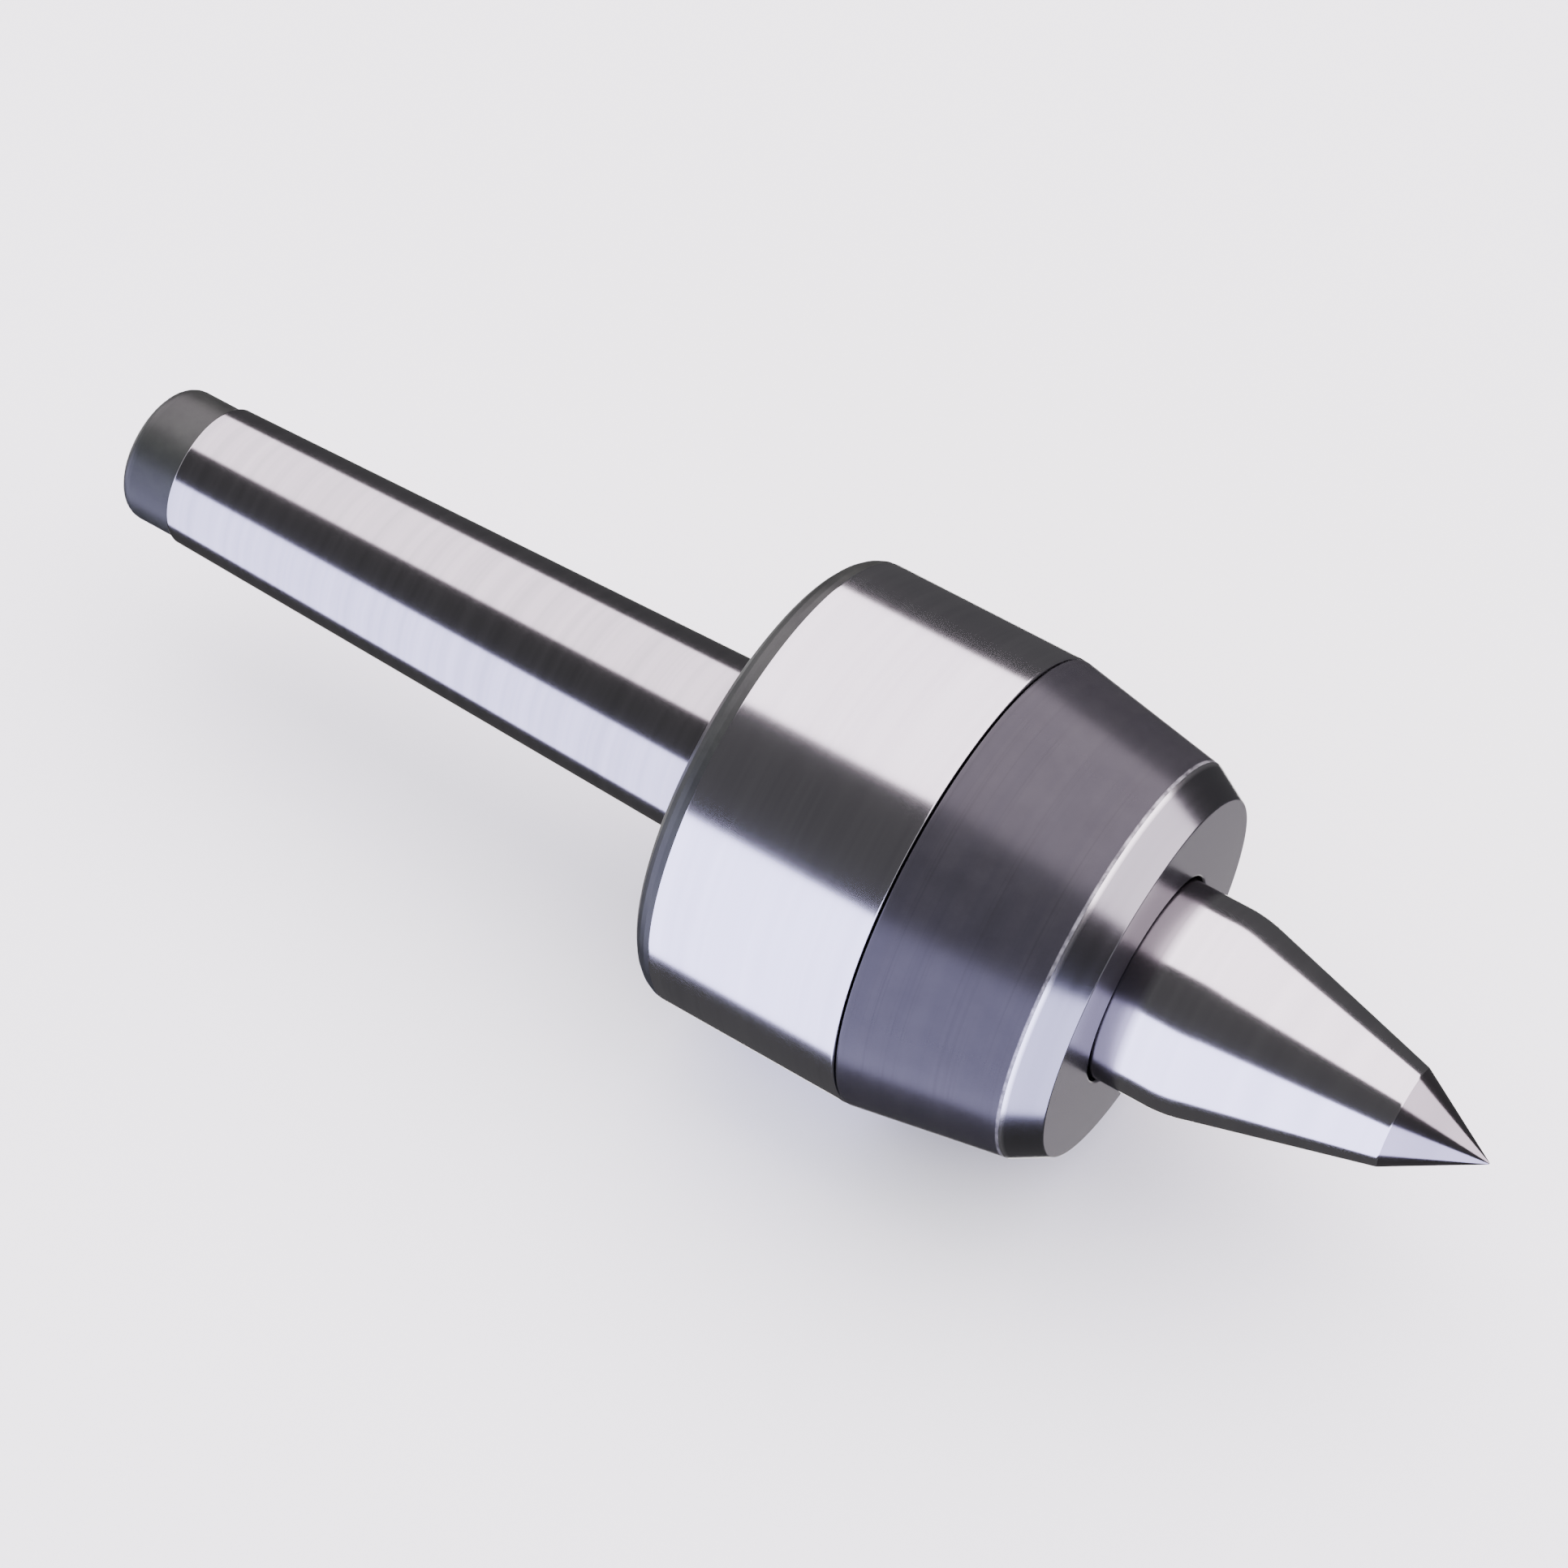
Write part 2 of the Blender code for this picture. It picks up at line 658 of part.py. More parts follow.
def place_around(name, mesh, count, pitch_radius, carrier, material):
    """Copies of one rolling element, evenly spaced round the carrier's axis, each a node of its own."""
    for i, angle in enumerate(around(count)):
        element = add_object(f"{name}_{i + 1:02d}", mesh, carrier.location.x / MM, carrier, material)
        element.location += about_x(angle) @ Vector((0, 0, pitch_radius * MM))
        element.rotation_euler.x = angle


def front_bearing(materials, spindle):
    half = FRONT_WIDTH / 2
    steel = materials["bearing_steel"]
    race = FRONT_BALL_RADIUS + GAP
    outer_angle = math.degrees(math.asin((FRONT_OUTER_LAND - FRONT_PITCH_RADIUS) / race))
    inner_angle = math.degrees(math.asin((FRONT_PITCH_RADIUS - FRONT_INNER_LAND) / race))
    edge = 0.8
    outer = [
        (-half, FRONT_OUTER_LAND),
        (-half, FRONT_OUTER_RADIUS - edge),
        (-half + edge, FRONT_OUTER_RADIUS),
        (half - edge, FRONT_OUTER_RADIUS),
        (half, FRONT_OUTER_RADIUS - edge),
        (half, FRONT_OUTER_LAND),
        *arc(0, FRONT_PITCH_RADIUS, race, outer_angle, 180 - outer_angle, 5),
    ]
    inner = [
        (-half, FRONT_BORE_RADIUS + edge),
        (-half, FRONT_INNER_LAND),
        *arc(0, FRONT_PITCH_RADIUS, race, 180 + inner_angle, 360 - inner_angle, 5),
        (half, FRONT_INNER_LAND),
        (half, FRONT_BORE_RADIUS + edge),
        (half - edge, FRONT_BORE_RADIUS),
        (-half + edge, FRONT_BORE_RADIUS),
    ]
    turned("front_bearing_outer_ring", outer, steel, FRONT_X)
    turned("front_bearing_inner_ring", inner, steel, FRONT_X, spindle)
    for side, name in ((-1, "rear"), (1, "front")):
        middle = side * SHIELD_OFFSET
        shield = [
            (middle - SHIELD_THICKNESS / 2, FRONT_INNER_LAND + GAP),
            (middle - SHIELD_THICKNESS / 2, FRONT_OUTER_LAND - GAP),
            (middle + SHIELD_THICKNESS / 2, FRONT_OUTER_LAND - GAP),
            (middle + SHIELD_THICKNESS / 2, FRONT_INNER_LAND + GAP),
        ]
        turned(f"front_bearing_{name}_shield", shield, materials["spring_steel"], FRONT_X)
    carrier = axis_empty("front_cage_axis", FRONT_X)
    cage_half = FRONT_CAGE_WIDTH / 2
    cage = turned(
        "front_bearing_cage",
        [
            (-cage_half, FRONT_CAGE_RADII[0]),
            (-cage_half, FRONT_CAGE_RADII[1]),
            (cage_half, FRONT_CAGE_RADII[1]),
            (cage_half, FRONT_CAGE_RADII[0]),
        ],
        materials["cage_brass"],
        FRONT_X,
        carrier,
    )
    bm = bmesh.new()
    for angle in around(FRONT_BALLS):
        place = about_x(angle) @ Matrix.Translation((0, 0, FRONT_PITCH_RADIUS))
        cylinder_into(bm, race, 6.0, place)
    boolean(cage, helper("front_pocket_cutter", bm, FRONT_X, carrier))
    ball = ball_mesh("front_bearing_ball", FRONT_BALL_RADIUS)
    place_around(
        "front_bearing_ball", ball, FRONT_BALLS, FRONT_PITCH_RADIUS, carrier, steel
    )


def thrust_washer_outline(radii, side):
    """A thrust washer in section. Its side (-1 or 1) says which side of the balls it is on."""
    race = THRUST_BALL_RADIUS + GAP
    groove_angle = math.degrees(math.acos(THRUST_FACE_OFFSET / race))
    back = THRUST_HEIGHT / 2
    inner, outer = radii
    edge = 0.6
    outline = [
        (back, inner + edge),
        (back, outer - edge),
        (back - edge, outer),
        (THRUST_FACE_OFFSET, outer),
        *arc(0, THRUST_PITCH_RADIUS, race, groove_angle, -groove_angle, 4),
        (THRUST_FACE_OFFSET, inner),
        (back - edge, inner),
    ]
    return [(side * x, r) for x, r in outline]


def thrust_bearing(materials, spindle):
    steel = materials["bearing_steel"]
    turned(
        "thrust_bearing_housing_washer",
        thrust_washer_outline(THRUST_HOUSING_RADII, -1),
        steel,
        THRUST_X,
    )
    turned(
        "thrust_bearing_shaft_washer",
        thrust_washer_outline(THRUST_SHAFT_RADII, 1),
        steel,
        THRUST_X,
        spindle,
    )
    carrier = axis_empty("thrust_cage_axis", THRUST_X)
    half = THRUST_CAGE_THICKNESS / 2
    cage = turned(
        "thrust_bearing_cage",
        [
            (-half, THRUST_CAGE_RADII[0]),
            (-half, THRUST_CAGE_RADII[1]),
            (half, THRUST_CAGE_RADII[1]),
            (half, THRUST_CAGE_RADII[0]),
        ],
        materials["cage_brass"],
        THRUST_X,
        carrier,
    )
    bm = bmesh.new()
    for angle in around(THRUST_BALLS):
        place = (
            about_x(angle)
            @ Matrix.Translation((0, 0, THRUST_PITCH_RADIUS))
            @ Matrix.Rotation(math.radians(90), 4, "Y")
        )
        cylinder_into(bm, THRUST_BALL_RADIUS + GAP, 6.0, place)
    boolean(cage, helper("thrust_pocket_cutter", bm, THRUST_X, carrier))
    ball = ball_mesh("thrust_bearing_ball", THRUST_BALL_RADIUS)
    place_around(
        "thrust_bearing_ball", ball, THRUST_BALLS, THRUST_PITCH_RADIUS, carrier, steel
    )


def needle_bearing(materials):
    half = NEEDLE_CUP_LENGTH / 2
    inside = NEEDLE_CUP_RADIUS - NEEDLE_CUP_WALL
    edge = 0.5
    cup = [
        (-half, NEEDLE_CUP_LIP_RADIUS),
        (-half, NEEDLE_CUP_RADIUS - edge),
        (-half + edge, NEEDLE_CUP_RADIUS),
        (half - edge, NEEDLE_CUP_RADIUS),
        (half, NEEDLE_CUP_RADIUS - edge),
        (half, NEEDLE_CUP_LIP_RADIUS),
        (half - NEEDLE_CUP_WALL, NEEDLE_CUP_LIP_RADIUS),
        (half - NEEDLE_CUP_WALL, inside),
        (-half + NEEDLE_CUP_WALL, inside),
        (-half + NEEDLE_CUP_WALL, NEEDLE_CUP_LIP_RADIUS),
    ]
    turned("needle_bearing_cup", cup, materials["bearing_steel"], NEEDLE_X)
    carrier = axis_empty("needle_cage_axis", NEEDLE_X)
    cage_half = NEEDLE_CAGE_LENGTH / 2
    cage = turned(
        "needle_bearing_cage",
        [
            (-cage_half, NEEDLE_CAGE_RADII[0]),
            (-cage_half, NEEDLE_CAGE_RADII[1]),
            (cage_half, NEEDLE_CAGE_RADII[1]),
            (cage_half, NEEDLE_CAGE_RADII[0]),
        ],
        materials["cage_brass"],
        NEEDLE_X,
        carrier,
        sides=2 * NEEDLES,
    )
    bm = bmesh.new()
    slot_half = NEEDLE_LENGTH / 2 + GAP
    slot_side = NEEDLE_RADIUS + GAP
    for angle in around(NEEDLES):
        box_into(
            bm,
            (-slot_half, -slot_side, NEEDLE_CAGE_RADII[0] - 2),
            (slot_half, slot_side, NEEDLE_CAGE_RADII[1] + 2),
            angle,
        )
    boolean(cage, helper("needle_slot_cutter", bm, NEEDLE_X, carrier))
    end = NEEDLE_LENGTH / 2
    crown = 0.3
    needle = turned_mesh(
        "needle_roller",
        [
            (-end, 0),
            (-end, NEEDLE_RADIUS - crown),
            (-end + crown, NEEDLE_RADIUS),
            (end - crown, NEEDLE_RADIUS),
            (end, NEEDLE_RADIUS - crown),
            (end, 0),
        ],
        ROLLER_SIDES,
    )
    place_around(
        "needle_roller",
        needle,
        NEEDLES,
        NEEDLE_PITCH_RADIUS,
        carrier,
        materials["bearing_steel"],
    )


def main():
    clear_scene()
    materials = make_materials()
    fixed_pieces(materials)
    spindle = spindle_pieces(materials)
    front_bearing(materials, spindle)
    thrust_bearing(materials, spindle)
    needle_bearing(materials)


main()
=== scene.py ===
"""The looks of a live centre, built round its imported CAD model.

Everything is in the CAD model's frame: the spindle axis is X, the point is towards +X and +Z is up.
Outlines are lists of (x, r) or (x, r, fillet) in millimetres, where r is the distance from the axis.
Every piece is turned or cut again here with fine edges, threads and raceways, and gets a procedural
finish: ground steel, black oxide, bearing steel, spring steel, brass or rubber.
"""

import math
from collections import namedtuple

import bmesh
import bpy
import numpy as np
from mathutils import Matrix, Vector


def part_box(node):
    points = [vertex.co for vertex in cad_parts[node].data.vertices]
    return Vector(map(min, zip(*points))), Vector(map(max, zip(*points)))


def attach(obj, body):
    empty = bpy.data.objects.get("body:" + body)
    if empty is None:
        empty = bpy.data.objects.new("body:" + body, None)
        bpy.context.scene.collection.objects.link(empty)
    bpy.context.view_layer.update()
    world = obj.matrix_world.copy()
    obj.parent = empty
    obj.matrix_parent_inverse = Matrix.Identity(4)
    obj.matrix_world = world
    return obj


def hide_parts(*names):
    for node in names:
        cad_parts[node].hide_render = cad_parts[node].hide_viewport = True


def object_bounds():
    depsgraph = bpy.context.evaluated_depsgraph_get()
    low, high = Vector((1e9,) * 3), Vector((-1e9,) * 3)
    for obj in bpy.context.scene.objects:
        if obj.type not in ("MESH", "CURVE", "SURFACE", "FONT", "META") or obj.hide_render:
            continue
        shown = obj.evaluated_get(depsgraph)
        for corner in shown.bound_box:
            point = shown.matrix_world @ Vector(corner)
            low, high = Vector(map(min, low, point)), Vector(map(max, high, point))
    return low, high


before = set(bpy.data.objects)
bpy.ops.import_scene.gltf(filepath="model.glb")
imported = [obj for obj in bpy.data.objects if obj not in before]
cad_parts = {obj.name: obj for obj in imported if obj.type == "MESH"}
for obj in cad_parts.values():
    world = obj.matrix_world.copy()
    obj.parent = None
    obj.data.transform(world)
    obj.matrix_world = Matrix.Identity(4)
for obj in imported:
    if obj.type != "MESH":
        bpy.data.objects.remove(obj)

MM = 0.001
CAD_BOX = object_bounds()
SIDES = 192  # round a turned piece
HOLE_SIDES = 64  # round a hole, a screw or a ball's pocket
SUPPORT = 0.12  # how far a run's first and last cuts are from its ends, so that its shading stays flat
SHARP_ANGLE = 28.0  # degrees between faces
OFF_GRID = 1.3  # degrees that a cutter is turned by, so that its corners miss those of the piece
SLIVER = 0.001  # shorter edges are taken out after a cut
ON_AXIS = 1e-6  # a point nearer than this to the axis is on it
STATIONS_PER_PITCH = 10  # along a thread
THREAD_FLAT = 0.12  # the share of the pitch that is flat at a thread's crest, and again in its root
FINE_THREAD_DEPTH = 0.85  # of the cap's thread and the lock nut's
FINISH_MARGIN = 0.05  # a face whose middle is this near an end face is dressed with it
OUTSIDE = 100.0  # a radius beyond every piece

# --- Morse taper No. 4 and the housing ---
TAPER_GAUGE_DIAMETER = 31.267
TAPER_PER_MM = 1 / 19.254
TAPER_LENGTH = 106.5
SHOULDER_X = 6.5
UNDERCUT_WIDTH = 2.5
UNDERCUT_DEPTH = 0.7
PILOT_RADIUS = 12.3
PILOT_ROUND = 2.6
CENTRE_HOLE_RADIUS = 4.0
CENTRE_DRILL_RADIUS = 1.6
CENTRE_DRILL_DEPTH = 9.0
REAR_ROUND = 4.5
SPIGOT_RADIUS = 32.0
REAR_FACE_RADIUS = 16.0  # where the painted shade on the rear face begins, outside the undercut's fillet
CAP_JOINT_GAP = 0.3
O_RING_GROOVE = (46.3, 48.9, 30.2)  # first x, last x and floor
FRONT_SEAT_X = 51.7
FRONT_SEAT_RADIUS = 27.5
THRUST_SEAT_X = 25.7
THRUST_SEAT_RADIUS = 24.3
PASSAGE_RADIUS = 13.2
NEEDLE_SEAT_X = (-5.8, 11.0)
NEEDLE_SEAT_RADIUS = 11.8
TAIL_BORE_X = -12.0
TAIL_BORE_RADIUS = 10.2
CAP_THREAD_X = 49.2
CAP_THREAD_PITCH = 1.5

# --- Cap ---
CAP_CHAMFER_LENGTH = 6.0
CAP_FRONT_RADIUS = 35.1
CAP_FACE_RADIUS = 31.6
CAP_THREAD_RADIUS = 32.3
CAP_RECESS_X = (63.5, 67.0)
CAP_RECESS_RADIUS = 28.0
SEAL_SEAT_X = 74.5
SEAL_SEAT_RADIUS = 26.0
CAP_BORE_RADIUS = 18.1
LOCK_SCREW_X = 53.0
LOCK_SCREW_ANGLE = 150.0
LOCK_SCREW_ENDS = (32.3, 37.3)  # their distances from the axis
CAP_HOLES = (  # angle, x, radius and depth
    (215.0, 60.0, 2.5, 3.5),  # for the pin of a hook spanner
    (LOCK_SCREW_ANGLE, LOCK_SCREW_X, 2.3, 9.0),
)

# --- Point and spindle ---
RELIEF_HALF_ANGLE = 15.0
TIP_HALF_ANGLE = 30.0
TIP_LENGTH = 15.0
NOSE_ROUND = 23.0
COLLAR_SHOULDER_X = 65.3
PAINTED_SHADE_REACH = 4.5  # how far in front of the cap's face the painted shade on the point reaches
FRONT_JOURNAL_RADIUS = 14.7
THRUST_JOURNAL_RADIUS = 12.2
NEEDLE_JOURNAL_RADIUS = 8.2
NUT_THREAD_PITCH = 1.5
NUT_THREAD_X = (41.9, 51.2)
KEYWAY_X = (40.5, 52.2)
KEYWAY_WIDTH = 5.2
KEYWAY_FLOOR = 12.9
KEYWAY_TURN = OFF_GRID / 8  # less than for other cutters, so that the keyway still takes the key
NEEDLE_SHOULDER_X = 12.5
THRUST_SHOULDER_X = 41.3
NUT_BORE_RADIUS = 15.0  # also the bore of the tab washer and of the front bearing
NUT_SLOTS = 4
TAB_PLACES = 13  # round the tab washer: the last one, beside the key, has no tab

# --- Bearings. FRONT_X, THRUST_X and NEEDLE_X are their middle planes ---
FRONT_X = 58.5
FRONT_PITCH_RADIUS = 21.1
FRONT_BALL_RADIUS = 3.57
FRONT_RACE_RADIUS = 3.87
FRONT_OUTER_LAND = 23.3
THRUST_X = 33.5
THRUST_PITCH_RADIUS = 18.2
THRUST_BALL_RADIUS = 3.95
THRUST_RACE_RADIUS = 4.25
THRUST_FACE_OFFSET = 3.2
THRUST_BACK_OFFSET = 7.5
THRUST_HOUSING_BORE = 13.6  # of the washer in the housing, and of the cage
THRUST_SHAFT_BORE = 12.5
NEEDLE_X = 2.5
NEEDLE_PITCH_RADIUS = 9.5
NEEDLES = 14
NEEDLE_SLOT = (5.2, 1.3)  # half length and half width
BALLS = 11  # in each ball bearing
POCKET_REACH = 3.0  # how far a pocket's cutter reaches each way


# --- Shaping ---


def corners(outline, steps=6):
    """The closed outline as (x, r) points, with each fillet worked out as an arc."""
    points = []
    for i, (x, r, *rest) in enumerate(outline):
        here = np.array((x, r), float)
        if not rest:
            points.append(tuple(here))
            continue
        fillet = rest[0]
        before = np.array(outline[i - 1][:2], float) - here
        after = np.array(outline[(i + 1) % len(outline)][:2], float) - here
        before /= np.linalg.norm(before)
        after /= np.linalg.norm(after)
        half = math.acos(np.clip(before @ after, -1, 1)) / 2
        bisector = (before + after) / np.linalg.norm(before + after)
        centre = here + bisector * fillet / math.sin(half)
        first = here + before * fillet / math.tan(half) - centre
        side = np.sign(before[0] * after[1] - before[1] * after[0])
        for step in range(steps + 1):
            a = -side * (math.pi - 2 * half) * step / steps
            turn = np.array(((math.cos(a), -math.sin(a)), (math.sin(a), math.cos(a))))
            points.append(tuple(centre + turn @ first))
    return points


def arc(centre_x, centre_r, radius, start, end, steps=16):
    """Points (x, r) along an arc. Angles are in degrees, from +X towards +r."""
    angles = np.radians(np.linspace(start, end, steps + 1))
    return [(centre_x + radius * math.cos(a), centre_r + radius * math.sin(a)) for a in angles]


def ring_section(start, end, bore, radius, inner, outer):
    """The outline of a plain ring, whose inner and outer edges are rounded by inner and outer."""
    return [(start, bore, inner), (start, radius, outer), (end, radius, outer), (end, bore, inner)]


def smooth(mesh):
    """Shades a mesh smooth but for its sharp edges."""
    mesh.shade_smooth()
    mesh.set_sharp_from_angle(angle=math.radians(SHARP_ANGLE))


def link(name, data):
    """Makes an object of a mesh, a light or a camera, and puts it in the scene."""
    made = bpy.data.objects.new(name, data)
    bpy.context.scene.collection.objects.link(made)
    return made


def from_bmesh(name, bm):
    """Links a bmesh in millimetres as an object in metres."""
    bmesh.ops.recalc_face_normals(bm, faces=bm.faces)
    bmesh.ops.scale(bm, vec=(MM, MM, MM), verts=bm.verts)
    mesh = bpy.data.meshes.new(name)
    bm.to_mesh(mesh)
    bm.free()
    smooth(mesh)
    return link(name, mesh)


def run_cuts(length, longest):
    """Where a run is cut, as shares of its length: near both ends, and evenly between them."""
    if length < 4 * SUPPORT:
        return [0.0]
    near = SUPPORT / length
    count = max(1, math.ceil(length / longest))
    return [0.0] + [near + (1 - 2 * near) * i / count for i in range(count + 1)]


# The radius of the surface that a thread is cut in, its first and last x, its pitch, and its depth, which
# is below 0 for a thread on the outside of a piece and above 0 for one in its bore.
Thread = namedtuple("Thread", "radius first last pitch depth")


def thread_depth(x, angle, thread):
    """How far a thread moves the surface: its depth in the root, 0 on the crest and past its ends."""
    turn = (x / thread.pitch - angle / math.tau) % 1.0
    flank = (1 - 2 * abs(turn - 0.5) - THREAD_FLAT) / (1 - 2 * THREAD_FLAT)
    run_out = min(x - thread.first, thread.last - x) / thread.pitch
    return thread.depth * min(max(flank, 0), 1) * min(max(run_out, 0), 1)


def carries(thread, start, end):
    """Whether the run from start to end, as (x, r), has some of the thread on it."""
    if thread is None:
        return False
    first, last = min(start[0], end[0]), max(start[0], end[0])
    on_surface = max(abs(start[1] - thread.radius), abs(end[1] - thread.radius)) < SLIVER
    return on_surface and first < thread.last - SLIVER and last > thread.first + SLIVER


def turned(name, outline, sides=SIDES, longest=3.0, thread=None):
    """An outline turned about X, in faces no longer than longest, with a thread where one is given."""
    stations = []
    for (x0, r0), (x1, r1) in zip(outline, outline[1:] + outline[:1]):
        length = math.hypot(x1 - x0, r1 - r0)
        threaded = carries(thread, (x0, r0), (x1, r1))
        if max(r0, r1) < ON_AXIS:
            cuts = [0.0]
        elif threaded:
            cuts = run_cuts(length, thread.pitch / STATIONS_PER_PITCH)
        else:
            cuts = run_cuts(length, longest)
        stations += [(x0 + (x1 - x0) * c, r0 + (r1 - r0) * c, threaded) for c in cuts]
    bm = bmesh.new()
    angles = [math.tau * i / sides for i in range(sides)]
    rings = []
    for x, r, threaded in stations:
        if r < ON_AXIS:
            rings.append([bm.verts.new((x, 0, 0))] * sides)
            continue
        ring = []
        for a in angles:
            here = r + thread_depth(x, a, thread) if threaded else r
            ring.append(bm.verts.new((x, -here * math.sin(a), here * math.cos(a))))
        rings.append(ring)
    for a, b in zip(rings, rings[1:] + rings[:1]):
        for i in range(sides):
            j = (i + 1) % sides
            face = list(dict.fromkeys((a[i], a[j], b[j], b[i])))
            if len(face) > 2:
                bm.faces.new(face)
    return from_bmesh(name, bm)


def about_x(degrees):
    """Angles run round X from +Z towards -Y, as in the CAD model."""
    return Matrix.Rotation(math.radians(degrees), 4, "X")


def evenly(count):
    """Angles that divide a full turn, in degrees."""
    return [360.0 * i / count for i in range(count)]


def block(low, high, turn=0.0, bevel=0.0):
    """A box between two corners, with its edges broken, turned about X."""
    bm = bmesh.new()
    low, high = Vector(low), Vector(high)
    size = Matrix.Diagonal((*(high - low), 1))
    bmesh.ops.create_cube(bm, size=1.0, matrix=Matrix.Translation((low + high) / 2) @ size)
    if bevel:
        bmesh.ops.bevel(bm, geom=bm.edges, offset=bevel, segments=3, affect="EDGES", profile=0.5)
    bmesh.ops.transform(bm, matrix=about_x(turn), verts=bm.verts)
    return from_bmesh("block", bm)


def rod(radius, length, sides=HOLE_SIDES):
    """A plain cutter along Z, from -length to length."""
    bm = bmesh.new()
    bmesh.ops.create_cone(
        bm, cap_ends=True, segments=sides, radius1=radius, radius2=radius, depth=2 * length
    )
    return from_bmesh("rod", bm)


def combine(piece, others, operation="DIFFERENCE"):
    """Cuts other objects out of a piece, or joins them to it, removes them, and cleans the result."""
    for other in others:
        modifier = piece.modifiers.new("combine", "BOOLEAN")
        modifier.operation = operation
        modifier.object = other
        modifier.solver = "EXACT"
    evaluated = piece.evaluated_get(bpy.context.evaluated_depsgraph_get())
    mesh = bpy.data.meshes.new_from_object(evaluated)
    piece.modifiers.clear()
    piece.data = mesh
    bm = bmesh.new()
    bm.from_mesh(mesh)
    bmesh.ops.dissolve_degenerate(bm, dist=SLIVER * MM, edges=bm.edges)
    within_edges = [v for v in bm.verts if len(v.link_edges) == 2]
    bmesh.ops.dissolve_verts(bm, verts=within_edges)
    bm.to_mesh(mesh)
    bm.free()
    smooth(mesh)
    for other in others:
        bpy.data.objects.remove(other)
    return piece


def placed(obj, turn, x, r, upright=None):
    """Moves an object made at the origin out to r in millimetres, at an angle about X."""
    place = about_x(turn) @ Matrix.Translation((x * MM, 0, r * MM))
    obj.data.transform(place @ upright if upright else place)
    return obj


def quarter_turn_about_y(sign=1):
    """Lays a piece made along Z along X, or with sign -1 stands one made along X up along Z."""
    return Matrix.Rotation(math.radians(90 * sign), 4, "Y")


def radial_hole(turn, x, top, radius, depth, countersink=0.35, above=2.0):
    """A cutter for a hole towards the axis, with its edge broken. top is the surface's radius."""
    profile = [
        (-depth, 0),
        (-depth, radius),
        (-countersink, radius),
        (0, radius + countersink),
        (above, radius + countersink + above),
        (above, 0),
    ]
    upright = quarter_turn_about_y(-1) @ about_x(OFF_GRID)
    return placed(turned("hole", profile, HOLE_SIDES), turn, x, top, upright)


# --- Materials ---


def join(tree, value, socket):
    """Sets an input to a value, or links another node's output to it."""
    if isinstance(value, bpy.types.NodeSocket):
        tree.links.new(value, socket)
    else:
        socket.default_value = value


def add_node(tree, kind, inputs, **settings):
    """Adds a shader node with its inputs joined, and returns its outputs."""
    node = tree.nodes.new("ShaderNode" + kind)
    for key, value in settings.items():
        setattr(node, key, value)
    for key, value in inputs.items():
        join(tree, value, node.inputs[key])
    return node.outputs


class Finish:
    """A material whose nodes are added in few words. An input is a value, or another node's output."""

    def __init__(self, name, metallic):
        self.material = bpy.data.materials.new(name)
        self.material.use_nodes = True
        self.tree = self.material.node_tree
        self.shader = self.tree.nodes["Principled BSDF"]
        self.shader.inputs["Metallic"].default_value = metallic
        self.place = add_node(self.tree, "TexCoord", {})["Object"]

    def add(self, kind, inputs, output=0, **settings):
        return add_node(self.tree, kind, inputs, **settings)[output]

    def math(self, operation, a, b=0.0, c=0.0):
        return self.add("Math", {0: a, 1: b, 2: c}, operation=operation)

    def noise(self, vector, scale, detail=3.0, roughness=0.5):
        inputs = {"Vector": vector, "Scale": scale, "Detail": detail, "Roughness": roughness}
        return self.add("TexNoise", inputs)

    def spread(self, value, low, high, to_low=0.0, to_high=1.0):
        inputs = {0: value, 1: low, 2: high, 3: to_low, 4: to_high}
        return self.add("MapRange", inputs, clamp=True)

    def mix(self, share, a, b):
        return self.add("Mix", {0: share, 6: a, 7: b}, output=2, data_type="RGBA")

    def axes(self):
        """x, y and z, and the distance from the axis, in metres."""
        x, y, z = add_node(self.tree, "SeparateXYZ", {0: self.place})
        r = self.math("SQRT", self.math("MULTIPLY_ADD", y, y, self.math("MULTIPLY", z, z)))
        return x, y, z, r

    def tool_lines(self, spacing_mm, length_mm):
        """Noise drawn out round the axis, as grinding or turning leaves it, also on end faces."""
        x, y, z, r = self.axes()
        along = self.math("MULTIPLY_ADD", r, 1.31, x)
        stretched = {
            0: self.math("MULTIPLY", along, 1 / (spacing_mm * MM)),
            1: self.math("MULTIPLY", y, 1 / (length_mm * MM)),
            2: self.math("MULTIPLY", z, 1 / (length_mm * MM)),
        }
        return self.noise(self.add("CombineXYZ", stretched), 1.0, 2.0)

    def band(self, value, low_mm, high_mm, soft_mm=0.1):
        """1 between two limits of a length in metres, and 0 outside them."""
        rise = self.spread(value, (low_mm - soft_mm) * MM, (low_mm + soft_mm) * MM)
        fall = self.spread(value, (high_mm - soft_mm) * MM, (high_mm + soft_mm) * MM, 1.0, 0.0)
        return self.math("MULTIPLY", rise, fall)

    def bump(self, height, strength, distance_mm):
        inputs = {"Height": height, "Strength": strength, "Distance": distance_mm * MM}
        return self.add("Bump", inputs)

    def set(self, colour, roughness, normal):
        values = {"Base Color": colour, "Roughness": roughness, "Normal": normal}
        for key, value in values.items():
            join(self.tree, value, self.shader.inputs[key])
        return self.material


def tone(red, green, blue):
    return (red, green, blue, 1.0)


